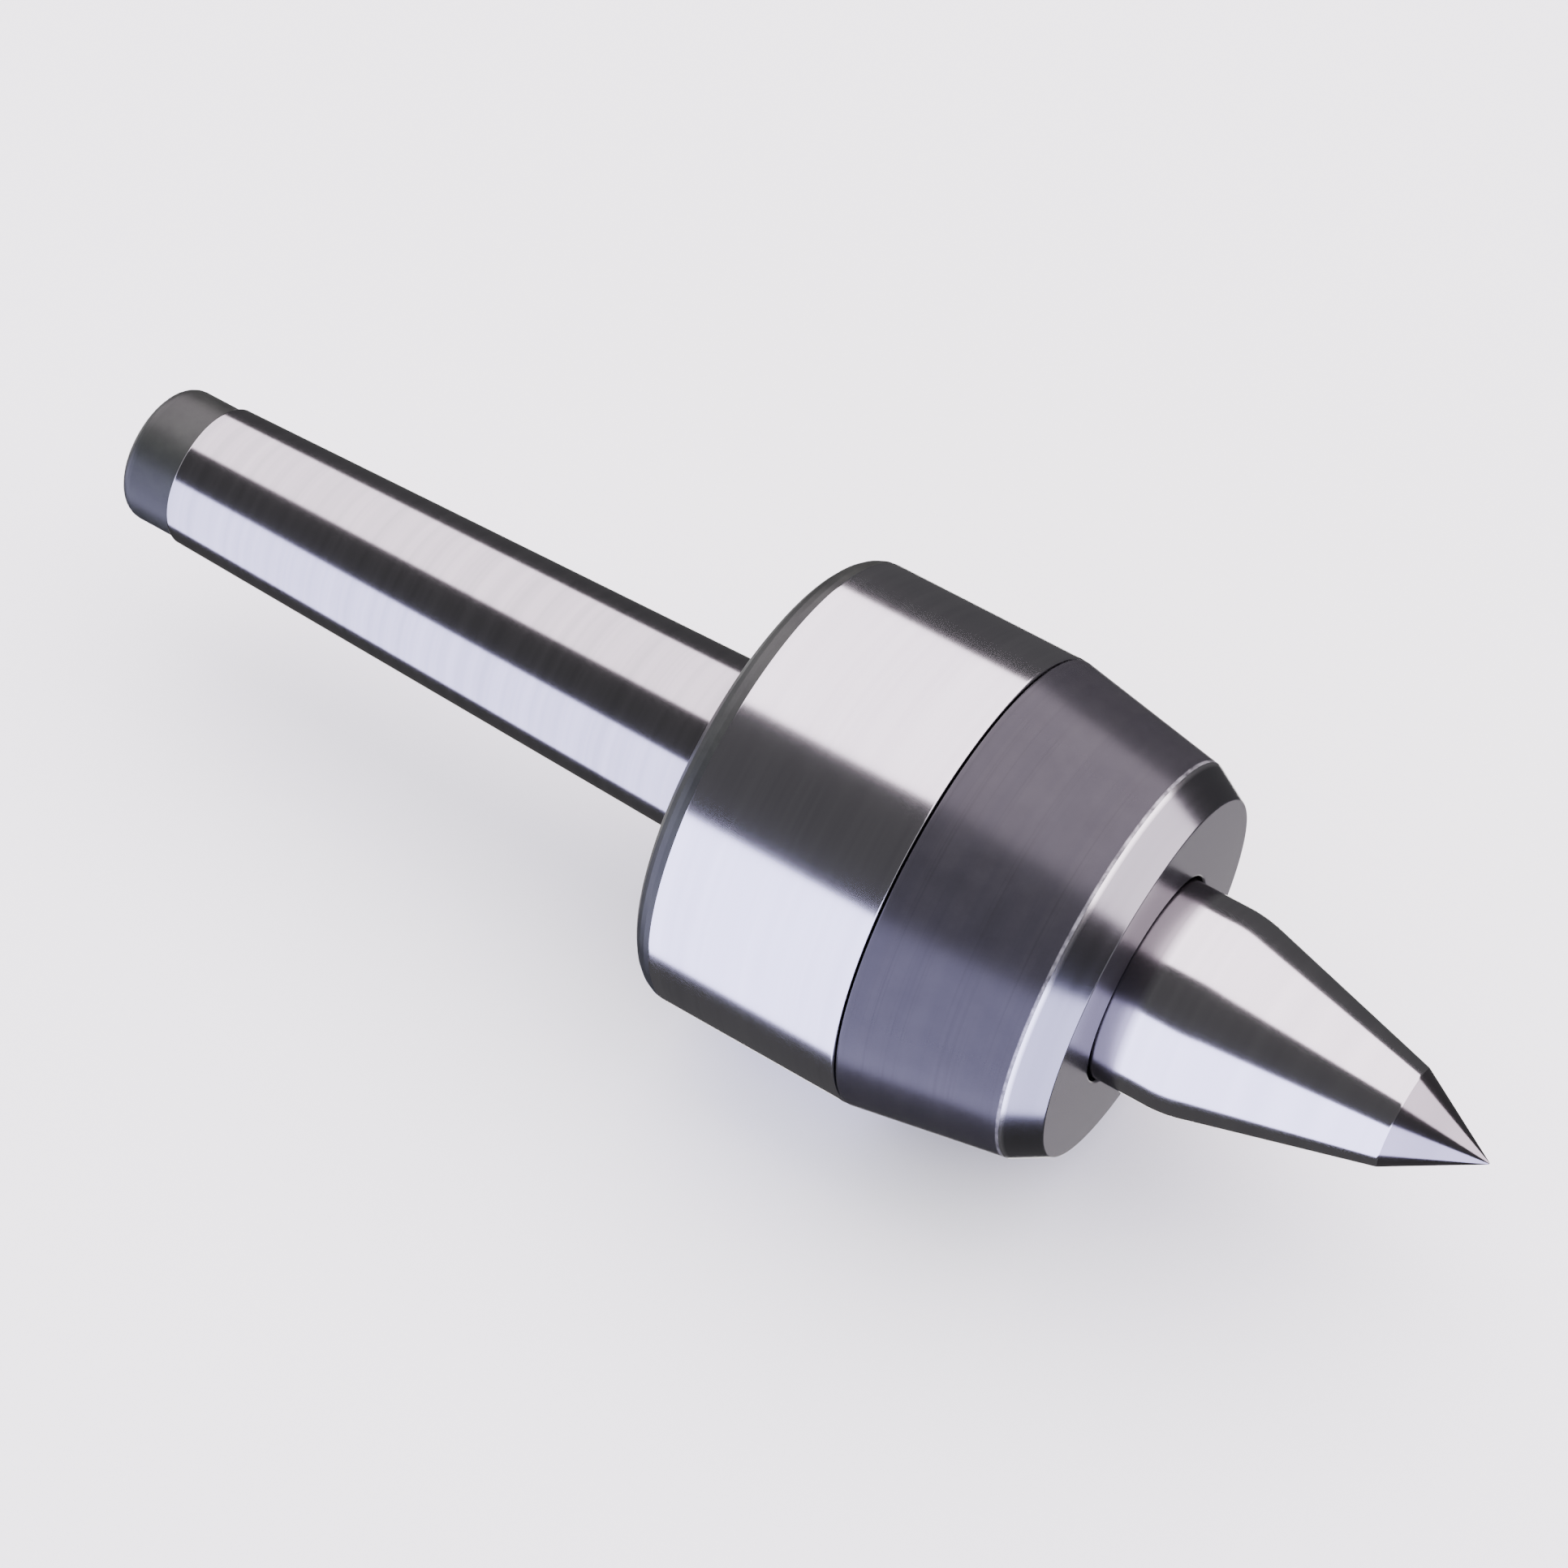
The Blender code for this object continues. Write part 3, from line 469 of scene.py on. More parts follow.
def ground(name, light, dark, roughness, painted_shade_band=None):
    """Cylindrically ground steel: fine broken lines round the axis, a faint film of oil, a few specks.

    A given band, as (first x, last x, tone), is painted shade: that stretch is darkened towards the tone
    and made rougher.
    """
    finish = Finish(name, 1.0)
    hair = finish.tool_lines(0.14, 30.0)
    fine = finish.tool_lines(0.45, 45.0)
    broad = finish.tool_lines(2.2, 90.0)
    film = finish.noise(finish.place, 32.0, 4.0, 0.55)
    specks = finish.noise(finish.place, 1500.0, 1.0)
    lines = finish.math("MULTIPLY_ADD", fine, 0.7, hair)
    colour = finish.mix(finish.spread(broad, 0.3, 0.7), light, dark)
    colour = finish.mix(finish.spread(fine, 0.62, 0.75, 0.0, 0.35), colour, dark)
    colour = finish.mix(finish.spread(specks, 0.74, 0.8, 0.0, 0.4), colour, dark)
    rough = finish.math("MULTIPLY_ADD", lines, 0.02, roughness)
    rough = finish.math("MULTIPLY_ADD", finish.spread(film, 0.4, 0.7), 0.012, rough)
    # painted shade: the band is darkened towards its tone, and made rougher
    if painted_shade_band:
        first, last, shade = painted_shade_band
        share = finish.band(finish.axes()[0], first, last, 0.8)
        colour = finish.mix(share, colour, shade)
        rough = finish.math("MULTIPLY_ADD", share, 0.08, rough)
    return finish.set(colour, rough, finish.bump(lines, 0.04, 0.005))


def ground_steel():
    """The housing's outside."""
    return ground("ground_steel", tone(0.81, 0.805, 0.825), tone(0.71, 0.705, 0.73), 0.11)


def taper_steel():
    """The shank's fit surface: ground finer than the body, and darker than it."""
    return ground("taper_steel", tone(0.55, 0.54, 0.55), tone(0.455, 0.45, 0.46), 0.115)


def point_steel(collar_x, shade_end_x):
    """The revolving point, with painted shade from its collar's shoulder to a given x in front of the cap's
    face.
    """
    # painted shade on the collar, in front of the cap's face
    painted_shade_band = (collar_x, shade_end_x, tone(0.34, 0.32, 0.34))
    return ground("point_steel", tone(0.84, 0.83, 0.84), tone(0.75, 0.74, 0.755), 0.10, painted_shade_band)


def tip_steel():
    """The 60 degree tip, which is ground last, at its own setting, and is darker than the rest of the
    point.
    """
    return ground("tip_steel", tone(0.40, 0.38, 0.40), tone(0.33, 0.31, 0.33), 0.12)


def chamfer_steel(first):
    """The cap's chamfer, turned bright after blackening, with a painted highlight along its rear edge, at
    first.
    """
    finish = Finish("chamfer_steel", 1.0)
    x = finish.axes()[0]
    lines = finish.tool_lines(0.22, 40.0)
    broad = finish.tool_lines(1.1, 80.0)
    pale, dark, painted_highlight = tone(0.34, 0.34, 0.36), tone(0.285, 0.285, 0.305), tone(0.90, 0.90, 0.91)
    colour = finish.mix(finish.spread(broad, 0.3, 0.7), pale, dark)
    # painted highlight along the chamfer's rear edge
    colour = finish.mix(finish.band(x, first - 1, first + 0.6, 0.25), colour, painted_highlight)
    rough = finish.math("MULTIPLY_ADD", lines, 0.05, 0.15)
    return finish.set(colour, rough, finish.bump(lines, 0.06, 0.006))


def black_oxide(name, highlight_edge=None):
    """Blackened turned steel. Along an edge given as (first x, last x, least r) it carries a painted
    highlight, in patches.
    """
    finish = Finish(name, 0.6)
    lines = finish.tool_lines(0.3, 60.0)
    broad = finish.tool_lines(1.8, 90.0)
    mottle = finish.noise(finish.place, 190.0, 4.0, 0.6)
    highlight_patches = finish.noise(finish.place, 420.0, 5.0, 0.65)
    dark, pale, painted_highlight = tone(0.035, 0.0335, 0.039), tone(0.0415, 0.040, 0.046), tone(0.40, 0.39, 0.42)
    colour = finish.mix(finish.spread(mottle, 0.3, 0.7), dark, pale)
    colour = finish.mix(finish.spread(broad, 0.45, 0.7, 0.0, 0.35), colour, tone(0.030, 0.029, 0.036))
    colour = finish.mix(finish.spread(lines, 0.55, 0.75, 0.0, 0.5), colour, tone(0.026, 0.025, 0.029))
    # painted highlight, in patches, along the given edge
    if highlight_edge:
        first, last, least = highlight_edge
        x, _, _, r = finish.axes()
        edge = finish.math("MULTIPLY", finish.band(x, first, last), finish.band(r, least, OUTSIDE))
        patchy_highlight = finish.math("MULTIPLY", edge, finish.spread(highlight_patches, 0.38, 0.62, 0.15, 0.8))
        colour = finish.mix(patchy_highlight, colour, painted_highlight)
    rough = finish.math("MULTIPLY_ADD", lines, 0.05, 0.21)
    rough = finish.math("MULTIPLY_ADD", finish.spread(mottle, 0.3, 0.75), 0.03, rough)
    return finish.set(colour, rough, finish.bump(lines, 0.14, 0.01))


def pilot_oxide_and_rear_shade():
    """Left black from hardening, and not ground: matter and greener than the cap. Laid on the body's rear
    face and its rounded edge, it is painted shade.
    """
    finish = Finish("pilot_oxide_and_rear_shade", 0.5)
    scale = finish.noise(finish.place, 150.0, 5.0, 0.6)
    lines = finish.tool_lines(0.35, 30.0)
    dark, pale = tone(0.019, 0.021, 0.019), tone(0.029, 0.0325, 0.028)
    colour = finish.mix(finish.spread(scale, 0.35, 0.7), dark, pale)
    rough = finish.math("MULTIPLY_ADD", scale, 0.12, 0.34)
    return finish.set(colour, rough, finish.bump(lines, 0.08, 0.01))


def bearing_steel():
    """Hardened and superfinished, with a thin film of grease."""
    finish = Finish("bearing_steel", 1.0)
    film = finish.noise(finish.place, 120.0, 4.0)
    specks = finish.noise(finish.place, 1100.0, 2.0)
    colour = finish.mix(finish.spread(film, 0.35, 0.7), tone(0.77, 0.77, 0.78), tone(0.69, 0.69, 0.70))
    colour = finish.mix(finish.spread(specks, 0.7, 0.8, 0.0, 0.3), colour, tone(0.5, 0.5, 0.51))
    rough = finish.math("MULTIPLY_ADD", film, 0.10, 0.05)
    return finish.set(colour, rough, finish.bump(film, 0.03, 0.01))


def spring_steel():
    """Tempered strip and wire, blue-grey with a little scale."""
    finish = Finish("spring_steel", 1.0)
    scale = finish.noise(finish.place, 260.0, 5.0, 0.6)
    temper = finish.noise(finish.place, 70.0, 3.0)
    colour = finish.mix(finish.spread(scale, 0.3, 0.7), tone(0.24, 0.24, 0.27), tone(0.38, 0.37, 0.38))
    colour = finish.mix(finish.spread(temper, 0.5, 0.7, 0.0, 0.4), colour, tone(0.20, 0.21, 0.29))
    rough = finish.math("MULTIPLY_ADD", scale, 0.22, 0.18)
    return finish.set(colour, rough, finish.bump(scale, 0.12, 0.02))


def cage_brass():
    """Machined brass, slightly tarnished."""
    finish = Finish("cage_brass", 1.0)
    lines = finish.tool_lines(0.2, 12.0)
    tarnish = finish.noise(finish.place, 90.0, 4.0, 0.6)
    colour = finish.mix(finish.spread(tarnish, 0.35, 0.7), tone(0.80, 0.60, 0.28), tone(0.62, 0.44, 0.20))
    rough = finish.math("MULTIPLY_ADD", tarnish, 0.2, 0.16)
    return finish.set(colour, rough, finish.bump(lines, 0.15, 0.012))


def seal_rubber():
    """Moulded nitrile rubber with a fine grain and a pale bloom."""
    finish = Finish("seal_rubber", 0.0)
    grain = finish.noise(finish.place, 1400.0, 3.0)
    bloom = finish.noise(finish.place, 140.0, 4.0)
    colour = finish.mix(finish.spread(bloom, 0.4, 0.7), tone(0.02, 0.02, 0.022), tone(0.045, 0.045, 0.047))
    rough = finish.math("MULTIPLY_ADD", grain, 0.2, 0.45)
    return finish.set(colour, rough, finish.bump(grain, 0.3, 0.03))


# --- Pieces of the housing ---


def taper_radius(x):
    """The radius of the Morse taper at x, which is 0 in the gauge plane."""
    return (TAPER_GAUGE_DIAMETER + x * TAPER_PER_MM) / 2


def span(node):
    """First and last x of a CAD node and its largest radius, in millimetres."""
    low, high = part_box(node)
    return low.x / MM, high.x / MM, max(high.y, high.z) / MM


def shank_and_housing():
    """One steel piece, outlined from the centre hole in its rear end, over the outside, to its bores."""
    end, spigot_end, body = span("shank_housing")
    cap_x = span("front_cap")[0]
    groove = SHOULDER_X - UNDERCUT_WIDTH
    floor = taper_radius(groove) - UNDERCUT_DEPTH
    countersink = (CENTRE_HOLE_RADIUS - CENTRE_DRILL_RADIUS) * math.sqrt(3)
    drill_end = end + CENTRE_DRILL_DEPTH
    ring_start, ring_end, ring_floor = O_RING_GROOVE
    needle_start, needle_end = NEEDLE_SEAT_X
    outline = [
        (drill_end + 0.9, 0),
        (drill_end, CENTRE_DRILL_RADIUS),
        (end + countersink, CENTRE_DRILL_RADIUS),
        (end, CENTRE_HOLE_RADIUS, 0.15),
        (end, PILOT_RADIUS, PILOT_ROUND),
        (-TAPER_LENGTH, PILOT_RADIUS, 0.2),
        (-TAPER_LENGTH, taper_radius(-TAPER_LENGTH), 0.35),
        (groove - 0.3, taper_radius(groove), 0.2),
        (groove, floor, 0.4),
        (SHOULDER_X, floor, 0.6),
        (SHOULDER_X, body, REAR_ROUND),
        (cap_x - CAP_JOINT_GAP, body, 0.4),
        (cap_x - CAP_JOINT_GAP, SPIGOT_RADIUS, 0.2),
        (ring_start, SPIGOT_RADIUS, 0.1),
        (ring_start, ring_floor, 0.3),
        (ring_end, ring_floor, 0.3),
        (ring_end, SPIGOT_RADIUS, 0.1),
        (spigot_end, SPIGOT_RADIUS, 1.0),
        (spigot_end, FRONT_SEAT_RADIUS, 0.5),
        (FRONT_SEAT_X, FRONT_SEAT_RADIUS, 0.3),
        (FRONT_SEAT_X, THRUST_SEAT_RADIUS, 0.3),
        (THRUST_SEAT_X, THRUST_SEAT_RADIUS, 0.3),
        (THRUST_SEAT_X, PASSAGE_RADIUS, 0.3),
        (needle_end, PASSAGE_RADIUS, 0.2),
        (needle_end, NEEDLE_SEAT_RADIUS, 0.2),
        (needle_start, NEEDLE_SEAT_RADIUS, 0.2),
        (needle_start, TAIL_BORE_RADIUS, 0.2),
        (TAIL_BORE_X, TAIL_BORE_RADIUS, 0.2),
        (TAIL_BORE_X - TAIL_BORE_RADIUS / 2, 0),
    ]
    thread = Thread(SPIGOT_RADIUS, CAP_THREAD_X, spigot_end, CAP_THREAD_PITCH, -FINE_THREAD_DEPTH)
    return turned("shank_and_housing", corners(outline), thread=thread)


def cap_surface(x):
    """The radius of the cap's cone at x."""
    cap_x, front, body = span("front_cap")
    slope = (body - CAP_FRONT_RADIUS) / (front - CAP_CHAMFER_LENGTH - cap_x)
    return body - (x - cap_x) * slope


def blackened_front_cap():
    """The cap, with its thread and seal seat, its spanner hole and the lock screw's hole."""
    cap_x, front, body = span("front_cap")
    recess_start, recess_end = CAP_RECESS_X
    outline = [
        (cap_x, CAP_THREAD_RADIUS, 0.2),
        (cap_x, body, 0.4),
        (front - CAP_CHAMFER_LENGTH, CAP_FRONT_RADIUS, 0.35),
        (front, CAP_FACE_RADIUS, 0.3),
        (front, CAP_BORE_RADIUS, 0.4),
        (SEAL_SEAT_X, CAP_BORE_RADIUS, 0.2),
        (SEAL_SEAT_X, SEAL_SEAT_RADIUS, 0.2),
        (recess_end, SEAL_SEAT_RADIUS, 0.3),
        (recess_end, CAP_RECESS_RADIUS, 0.2),
        (recess_start, CAP_RECESS_RADIUS, 0.2),
        (recess_start, CAP_THREAD_RADIUS, 0.2),
    ]
    thread_end = recess_start - 0.1
    thread = Thread(CAP_THREAD_RADIUS, CAP_THREAD_X, thread_end, CAP_THREAD_PITCH, FINE_THREAD_DEPTH)
    cap = turned("blackened_front_cap", corners(outline), thread=thread)
    holes = [radial_hole(turn, x, cap_surface(x), radius, depth) for turn, x, radius, depth in CAP_HOLES]
    return combine(cap, holes)


def cap_grub_screw():
    """A socket grub screw with a cup point, made along X and then stood in its hole in the cap."""
    bottom, top = LOCK_SCREW_ENDS
    radius, cup = 2.0, 1.1
    half_across_flats, socket_depth = 1.0, 2.4
    outline = [
        (bottom + 0.6, 0),
        (bottom, cup, 0.1),
        (bottom + 0.7, radius, 0.1),
        (top - 0.4, radius, 0.1),
        (top, radius - 0.4, 0.1),
        (top, 1.35),
        (top - 0.2, 1.1),
        (top - 0.25, 0),
    ]
    thread = Thread(radius, bottom + 0.5, top - 0.2, 0.7, -0.35)
    screw = turned("cap_grub_screw", corners(outline), HOLE_SIDES, thread=thread)
    socket = rod(half_across_flats / math.cos(math.radians(30)), socket_depth, 6)
    lying = about_x(OFF_GRID) @ quarter_turn_about_y()
    socket.data.transform(Matrix.Translation((top * MM, 0, 0)) @ lying)
    combine(screw, [socket])
    return placed(screw, LOCK_SCREW_ANGLE, LOCK_SCREW_X, 0, quarter_turn_about_y(-1))


def cap_seal_ring(x=47.6, ring=31.3, section=0.8):
    """The O-ring between cap and housing."""
    sides = 24
    return turned("cap_seal_ring", arc(x, ring, section, 360, 360 / sides, sides - 1))


def shaft_lip_seal():
    """A radial lip seal in section: rim, web, sealing lip with its spring groove, and dust lip."""
    back, front, radius = span("shaft_seal")
    outline = [
        (back, 24.1, 0.3),
        (back, radius, 0.4),
        (front, radius, 0.5),
        (front, 19.0, 0.3),
        (72.8, 18.8, 0.3),
        (71.6, 18.4, 0.3),
        (70.0, 17.8),
        (68.8, 18.6, 0.2),
        (69.2, 19.3, 0.2),
        (70.6, 19.1, 0.2),
        (72.6, 20.0, 0.3),
        (72.8, 23.9, 0.4),
        (72.2, 24.1, 0.2),
    ]
    return turned("shaft_lip_seal", corners(outline))


def garter_spring(x=70.0, radius=20.1, coil=0.42, wire=0.13, steps=9, wire_sides=6):
    """A closely wound spring bent round into a ring: a helix along a circle about the spindle axis."""
    pitch = 2.15 * wire  # a little over the wire's diameter
    turns = round(math.tau * radius / pitch)
    bm = bmesh.new()
    rings = []
    count = turns * steps
    for i in range(count):
        round_axis = math.tau * i / count
        round_coil = math.tau * i / steps
        outward = Vector((0, -math.sin(round_axis), math.cos(round_axis)))
        forward = Vector((0, -math.cos(round_axis), -math.sin(round_axis)))
        sideways = Vector((1, 0, 0))
        spoke = outward * math.cos(round_coil) + sideways * math.sin(round_coil)
        travel = sideways * math.cos(round_coil) - outward * math.sin(round_coil)
        tangent = (travel * coil + forward * radius / turns).normalized()
        side = tangent.cross(spoke)
        middle = sideways * x + outward * radius + spoke * coil
        ring = []
        for k in range(wire_sides):
            a = math.tau * k / wire_sides
            ring.append(bm.verts.new(middle + (spoke * math.cos(a) + side * math.sin(a)) * wire))
        rings.append(ring)
    for a, b in zip(rings, rings[1:] + rings[:1]):
        for k in range(wire_sides):
            bm.faces.new((a[k], a[k - 1], b[k - 1], b[k]))
    return from_bmesh("garter_spring", bm)


def wave_spring(middle=66.0, inner=24.2, outer=27.2, thickness=0.4, height=0.45, waves=4):
    """A spring washer: a ring with rounded edges whose section rides up and down round the axis."""
    half = thickness / 2
    section = ring_section(-half, half, inner, outer, 0.15, 0.15)
    piece = turned("wave_spring", corners(section, 4))
    for vertex in piece.data.vertices:
        angle = math.atan2(-vertex.co.y, vertex.co.z)
        vertex.co.x += (middle + height * math.cos(waves * angle)) * MM
    return piece


# --- Pieces of the spindle ---


def extended_point():
    """Point and spindle in one, outlined from the drilled tail, over the journals, to the tip."""
    tail, tip, collar = span("center_point")
    base_x = tip - TIP_LENGTH
    base_r = TIP_LENGTH * math.tan(math.radians(TIP_HALF_ANGLE))
    cone_start = base_x - (collar - base_r) / math.tan(math.radians(RELIEF_HALF_ANGLE))
    outline = [
        (tail + 3.4, 0),
        (tail + 2.6, 0.8),
        (tail + 2.0, 0.8),
        (tail, 2.0, 0.1),
        (tail, NEEDLE_JOURNAL_RADIUS, 0.9),
        (NEEDLE_SHOULDER_X, NEEDLE_JOURNAL_RADIUS, 0.5),
        (NEEDLE_SHOULDER_X, THRUST_JOURNAL_RADIUS, 0.5),
        (THRUST_SHOULDER_X, THRUST_JOURNAL_RADIUS, 0.3),
        (THRUST_SHOULDER_X, FRONT_JOURNAL_RADIUS, 0.4),
        (NUT_THREAD_X[1], FRONT_JOURNAL_RADIUS),
        (COLLAR_SHOULDER_X, FRONT_JOURNAL_RADIUS, 0.3),
        (COLLAR_SHOULDER_X, collar, 0.5),
        (cone_start, collar, NOSE_ROUND),
        (base_x, base_r, 0.8),
        (tip - 0.35, 0.2, 0.15),
        (tip - 0.2, 0),
    ]
    thread = Thread(FRONT_JOURNAL_RADIUS, *NUT_THREAD_X, NUT_THREAD_PITCH, -FINE_THREAD_DEPTH)
    point = turned("extended_point", corners(outline, 12), thread=thread)
    half = KEYWAY_WIDTH / 2
    first, last = KEYWAY_X
    keyway = block((first, -half, KEYWAY_FLOOR), (last, half, collar), KEYWAY_TURN)
    return combine(point, [keyway])


def slotted_lock_nut():
    """A round nut with slots for a hook spanner and for the washer's bent tab."""
    start, end, radius = span("bearing_lock_nut")
    slot_floor, slot_half = 20.2, 2.5
    outline = ring_section(start, end, NUT_BORE_RADIUS, radius, 0.4, 0.9)
    thread = Thread(NUT_BORE_RADIUS, start, end, NUT_THREAD_PITCH, FINE_THREAD_DEPTH)
    nut = turned("slotted_lock_nut", corners(outline), thread=thread)
    slots = [
        block((start - 1, -slot_half, slot_floor), (end + 1, slot_half, radius + 2), turn)
        for turn in evenly(NUT_SLOTS)
    ]
    return combine(nut, slots)


def bent_tab(x, root, floor, thickness, width, length):
    """A tab that runs out along the washer's face and bends back into the nut's slot opposite the key."""
    face_x = x + 0.05
    outside = [
        (face_x, root),
        (face_x, floor + thickness, 0.9),
        (x - length, floor + thickness, 0.2),
        (x - length, floor, 0.2),
        (x - thickness, floor, 0.15),
        (x - thickness, root),
    ]
    bm = bmesh.new()
    face = bm.faces.new([bm.verts.new((px, -width / 2, r)) for px, r in corners(outside, 4)])
    pushed = bmesh.ops.extrude_face_region(bm, geom=[face])
    moved = [v for v in pushed["geom"] if isinstance(v, bmesh.types.BMVert)]
    bmesh.ops.translate(bm, vec=(0, width, 0), verts=moved)
    bmesh.ops.transform(bm, matrix=about_x(180), verts=bm.verts)
    return from_bmesh("bent_tab", bm)


def tab_washer():
    """A lock washer: flat tabs, one bent back into a slot of the nut, and a key in its bore."""
    start, end, ring, tab_end = 50.5, 51.7, 19.0, 21.2
    bore = NUT_BORE_RADIUS
    outline = ring_section(start, end, bore, ring, 0.1, 0.15)
    washer = turned("tab_washer", corners(outline, 3))
    inset, buried = 0.05, 1.0
    half_tab, half_key = 1.3, 2.3
    first, last = start + inset, end - inset
    low, high = (first, -half_tab, ring - buried), (last, half_tab, tab_end)
    places = [turn + 180 / TAB_PLACES for turn in evenly(TAB_PLACES)]
    tabs = [block(low, high, place, bevel=0.2) for place in places[:-1]]
    low, high = (first, -half_key, KEYWAY_FLOOR + 0.3), (last, half_key, bore + buried)
    key = block(low, high, bevel=0.15)
    bent = bent_tab(end - 0.15, root=ring - buried, floor=20.5, thickness=1.1, width=3.4, length=3.6)
    return combine(washer, tabs + [key, bent], "UNION")


# --- Bearings ---


def race_angle(land):
    """The angle, in degrees from +X, at which the front bearing's groove meets a land."""
    return math.degrees(math.asin(abs(land - FRONT_PITCH_RADIUS) / FRONT_RACE_RADIUS))


def front_outer_race():
    """Outer ring with a deep groove and the two notches that hold the shields."""
    start, end, radius = span("front_bearing_outer_ring")
    notch = FRONT_OUTER_LAND + 0.35
    angle = race_angle(FRONT_OUTER_LAND)
    groove = arc(FRONT_X, FRONT_PITCH_RADIUS, FRONT_RACE_RADIUS, angle, 180 - angle, 20)
    outline = [
        (start, FRONT_OUTER_LAND, 0.15),
        (start, radius, 0.9),
        (end, radius, 0.9),
        (end, FRONT_OUTER_LAND, 0.15),
        (end - 0.2, FRONT_OUTER_LAND),
        (end - 0.3, notch),
        (end - 0.9, notch),
        (end - 1.0, FRONT_OUTER_LAND),
        *groove,
        (start + 1.0, FRONT_OUTER_LAND),
        (start + 0.9, notch),
        (start + 0.3, notch),
        (start + 0.2, FRONT_OUTER_LAND),
    ]
    return turned("front_outer_race", corners(outline))


def front_inner_race():
    """Inner ring with its deep groove."""
    start, end, land = span("front_bearing_inner_ring")
    bore = NUT_BORE_RADIUS
    angle = race_angle(land)
    groove = arc(FRONT_X, FRONT_PITCH_RADIUS, FRONT_RACE_RADIUS, 180 + angle, 360 - angle, 20)
    outline = [
        (start, bore, 0.8),
        (start, land, 0.25),
        *groove,
        (end, land, 0.25),
        (end, bore, 0.8),
    ]
    return turned("front_inner_race", corners(outline))


def dust_shield(name, node, facing):
    """A pressed shield: its rim is crimped inwards and its inner edge is turned towards the balls."""
    start, end, outer = span(node)
    inner = 19.5
    half, turned_in = 0.15, 0.25
    outline = [
        (half, outer - 0.5, 0.2),
        (half - turned_in, outer, 0.1),
        (-half - turned_in, outer, 0.1),
        (-half, outer - 0.7, 0.2),
        (-half, inner + 0.5, 0.1),
        (-half - turned_in, inner + 0.3, 0.1),
        (-half - turned_in, inner, 0.1),
        (half, inner, 0.2),
    ]
    middle = (start + end) / 2
    return turned(name, [(middle + facing * x, r) for x, r in corners(outline, 4)])


def ball(name, radius, pitch_radius, x, turn):
    """One bearing ball, as an evenly divided sphere."""
    bm = bmesh.new()
    bmesh.ops.create_icosphere(bm, subdivisions=5, radius=radius)
    return placed(from_bmesh(name, bm), turn, x, pitch_radius)


def cage_ring(name, node, bore, break_edge=0.2):
    """A cage before its pockets are cut."""
    start, end, radius = span(node)
    outline = ring_section(start, end, bore, radius, break_edge, break_edge)
    return turned(name, corners(outline, 4), longest=1.5)


def front_ball_cage():
    """A cage with round pockets, drilled towards the axis."""
    cage = cage_ring("front_ball_cage", "front_bearing_cage", bore=20.2)
    pockets = [
        placed(rod(FRONT_RACE_RADIUS, POCKET_REACH), turn, FRONT_X, FRONT_PITCH_RADIUS)
        for turn in evenly(BALLS)
    ]
    return combine(cage, pockets)


def thrust_ball_cage():
    """A flat cage with round pockets, drilled along the axis."""
    cage = cage_ring("thrust_ball_cage", "thrust_bearing_cage", bore=THRUST_HOUSING_BORE)
    lying = quarter_turn_about_y()
    pockets = [
        placed(rod(THRUST_RACE_RADIUS, POCKET_REACH), turn, THRUST_X, THRUST_PITCH_RADIUS, lying)
        for turn in evenly(BALLS)
    ]
    return combine(cage, pockets)


def needle_ring_cage():
    """A thin cage with a slot for each needle."""
    cage = cage_ring("needle_ring_cage", "needle_bearing_cage", bore=8.9, break_edge=0.12)
    length, width = NEEDLE_SLOT
    low, high = NEEDLE_PITCH_RADIUS - 2.5, NEEDLE_PITCH_RADIUS + 2.5
    slots = [
        block((NEEDLE_X - length, -width, low), (NEEDLE_X + length, width, high), turn)
        for turn in evenly(NEEDLES)
    ]
    return combine(cage, slots)


def thrust_race(name, node, bore, side):
    """A thrust washer whose groove faces the balls. side says which way its back is."""
    radius = span(node)[2]
    angle = math.degrees(math.acos(THRUST_FACE_OFFSET / THRUST_RACE_RADIUS))
    outline = [
        (THRUST_BACK_OFFSET, bore, 0.7),
        (THRUST_BACK_OFFSET, radius, 0.7),
        (THRUST_FACE_OFFSET, radius, 0.4),
        *arc(0, THRUST_PITCH_RADIUS, THRUST_RACE_RADIUS, angle, -angle, 16),
        (THRUST_FACE_OFFSET, bore, 0.4),
    ]
    return turned(name, [(THRUST_X + side * x, r) for x, r in corners(outline)])


def drawn_needle_cup():
    """A cup drawn from thin sheet, with both its lips turned in."""
    start, end, radius = span("needle_bearing_cup")
    wall, lip = 0.7, 8.7
    outline = [
        (start, lip, 0.2),
        (start, radius, 1.1),
        (end, radius, 1.1),
        (end, lip, 0.2),
        (end - wall, lip, 0.2),
        (end - wall, radius - wall, 0.4),
        (start + wall, radius - wall, 0.4),
        (start + wall, lip, 0.2),
    ]
    return turned("drawn_needle_cup", corners(outline))


def needle(name, turn):
    """A needle roller with rounded ends."""
    end, radius = 4.9, 1.0
    outline = [(-end, 0), (-end, radius, 0.35), (end, radius, 0.35), (end, 0)]
    piece = turned(name, corners(outline), 48)
    return placed(piece, turn, NEEDLE_X, NEEDLE_PITCH_RADIUS)


# --- Putting it together ---

FINISHES = {  # by material slot
    "ground_steel": ground_steel(),
    "black_oxide_steel": black_oxide("black_oxide"),
    "bearing_steel": bearing_steel(),
    "spring_steel": spring_steel(),
    "cage_brass": cage_brass(),
    "seal_rubber": seal_rubber(),
}


def add(piece, node, body, slot, finish=None):
    """Dresses a piece in its slot's finish, or in a given one, and puts it in place of a CAD node."""
    piece.data.materials.clear()
    piece.data.materials.append(finish or FINISHES[slot])
    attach(piece, body)
    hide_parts(node)
    return piece


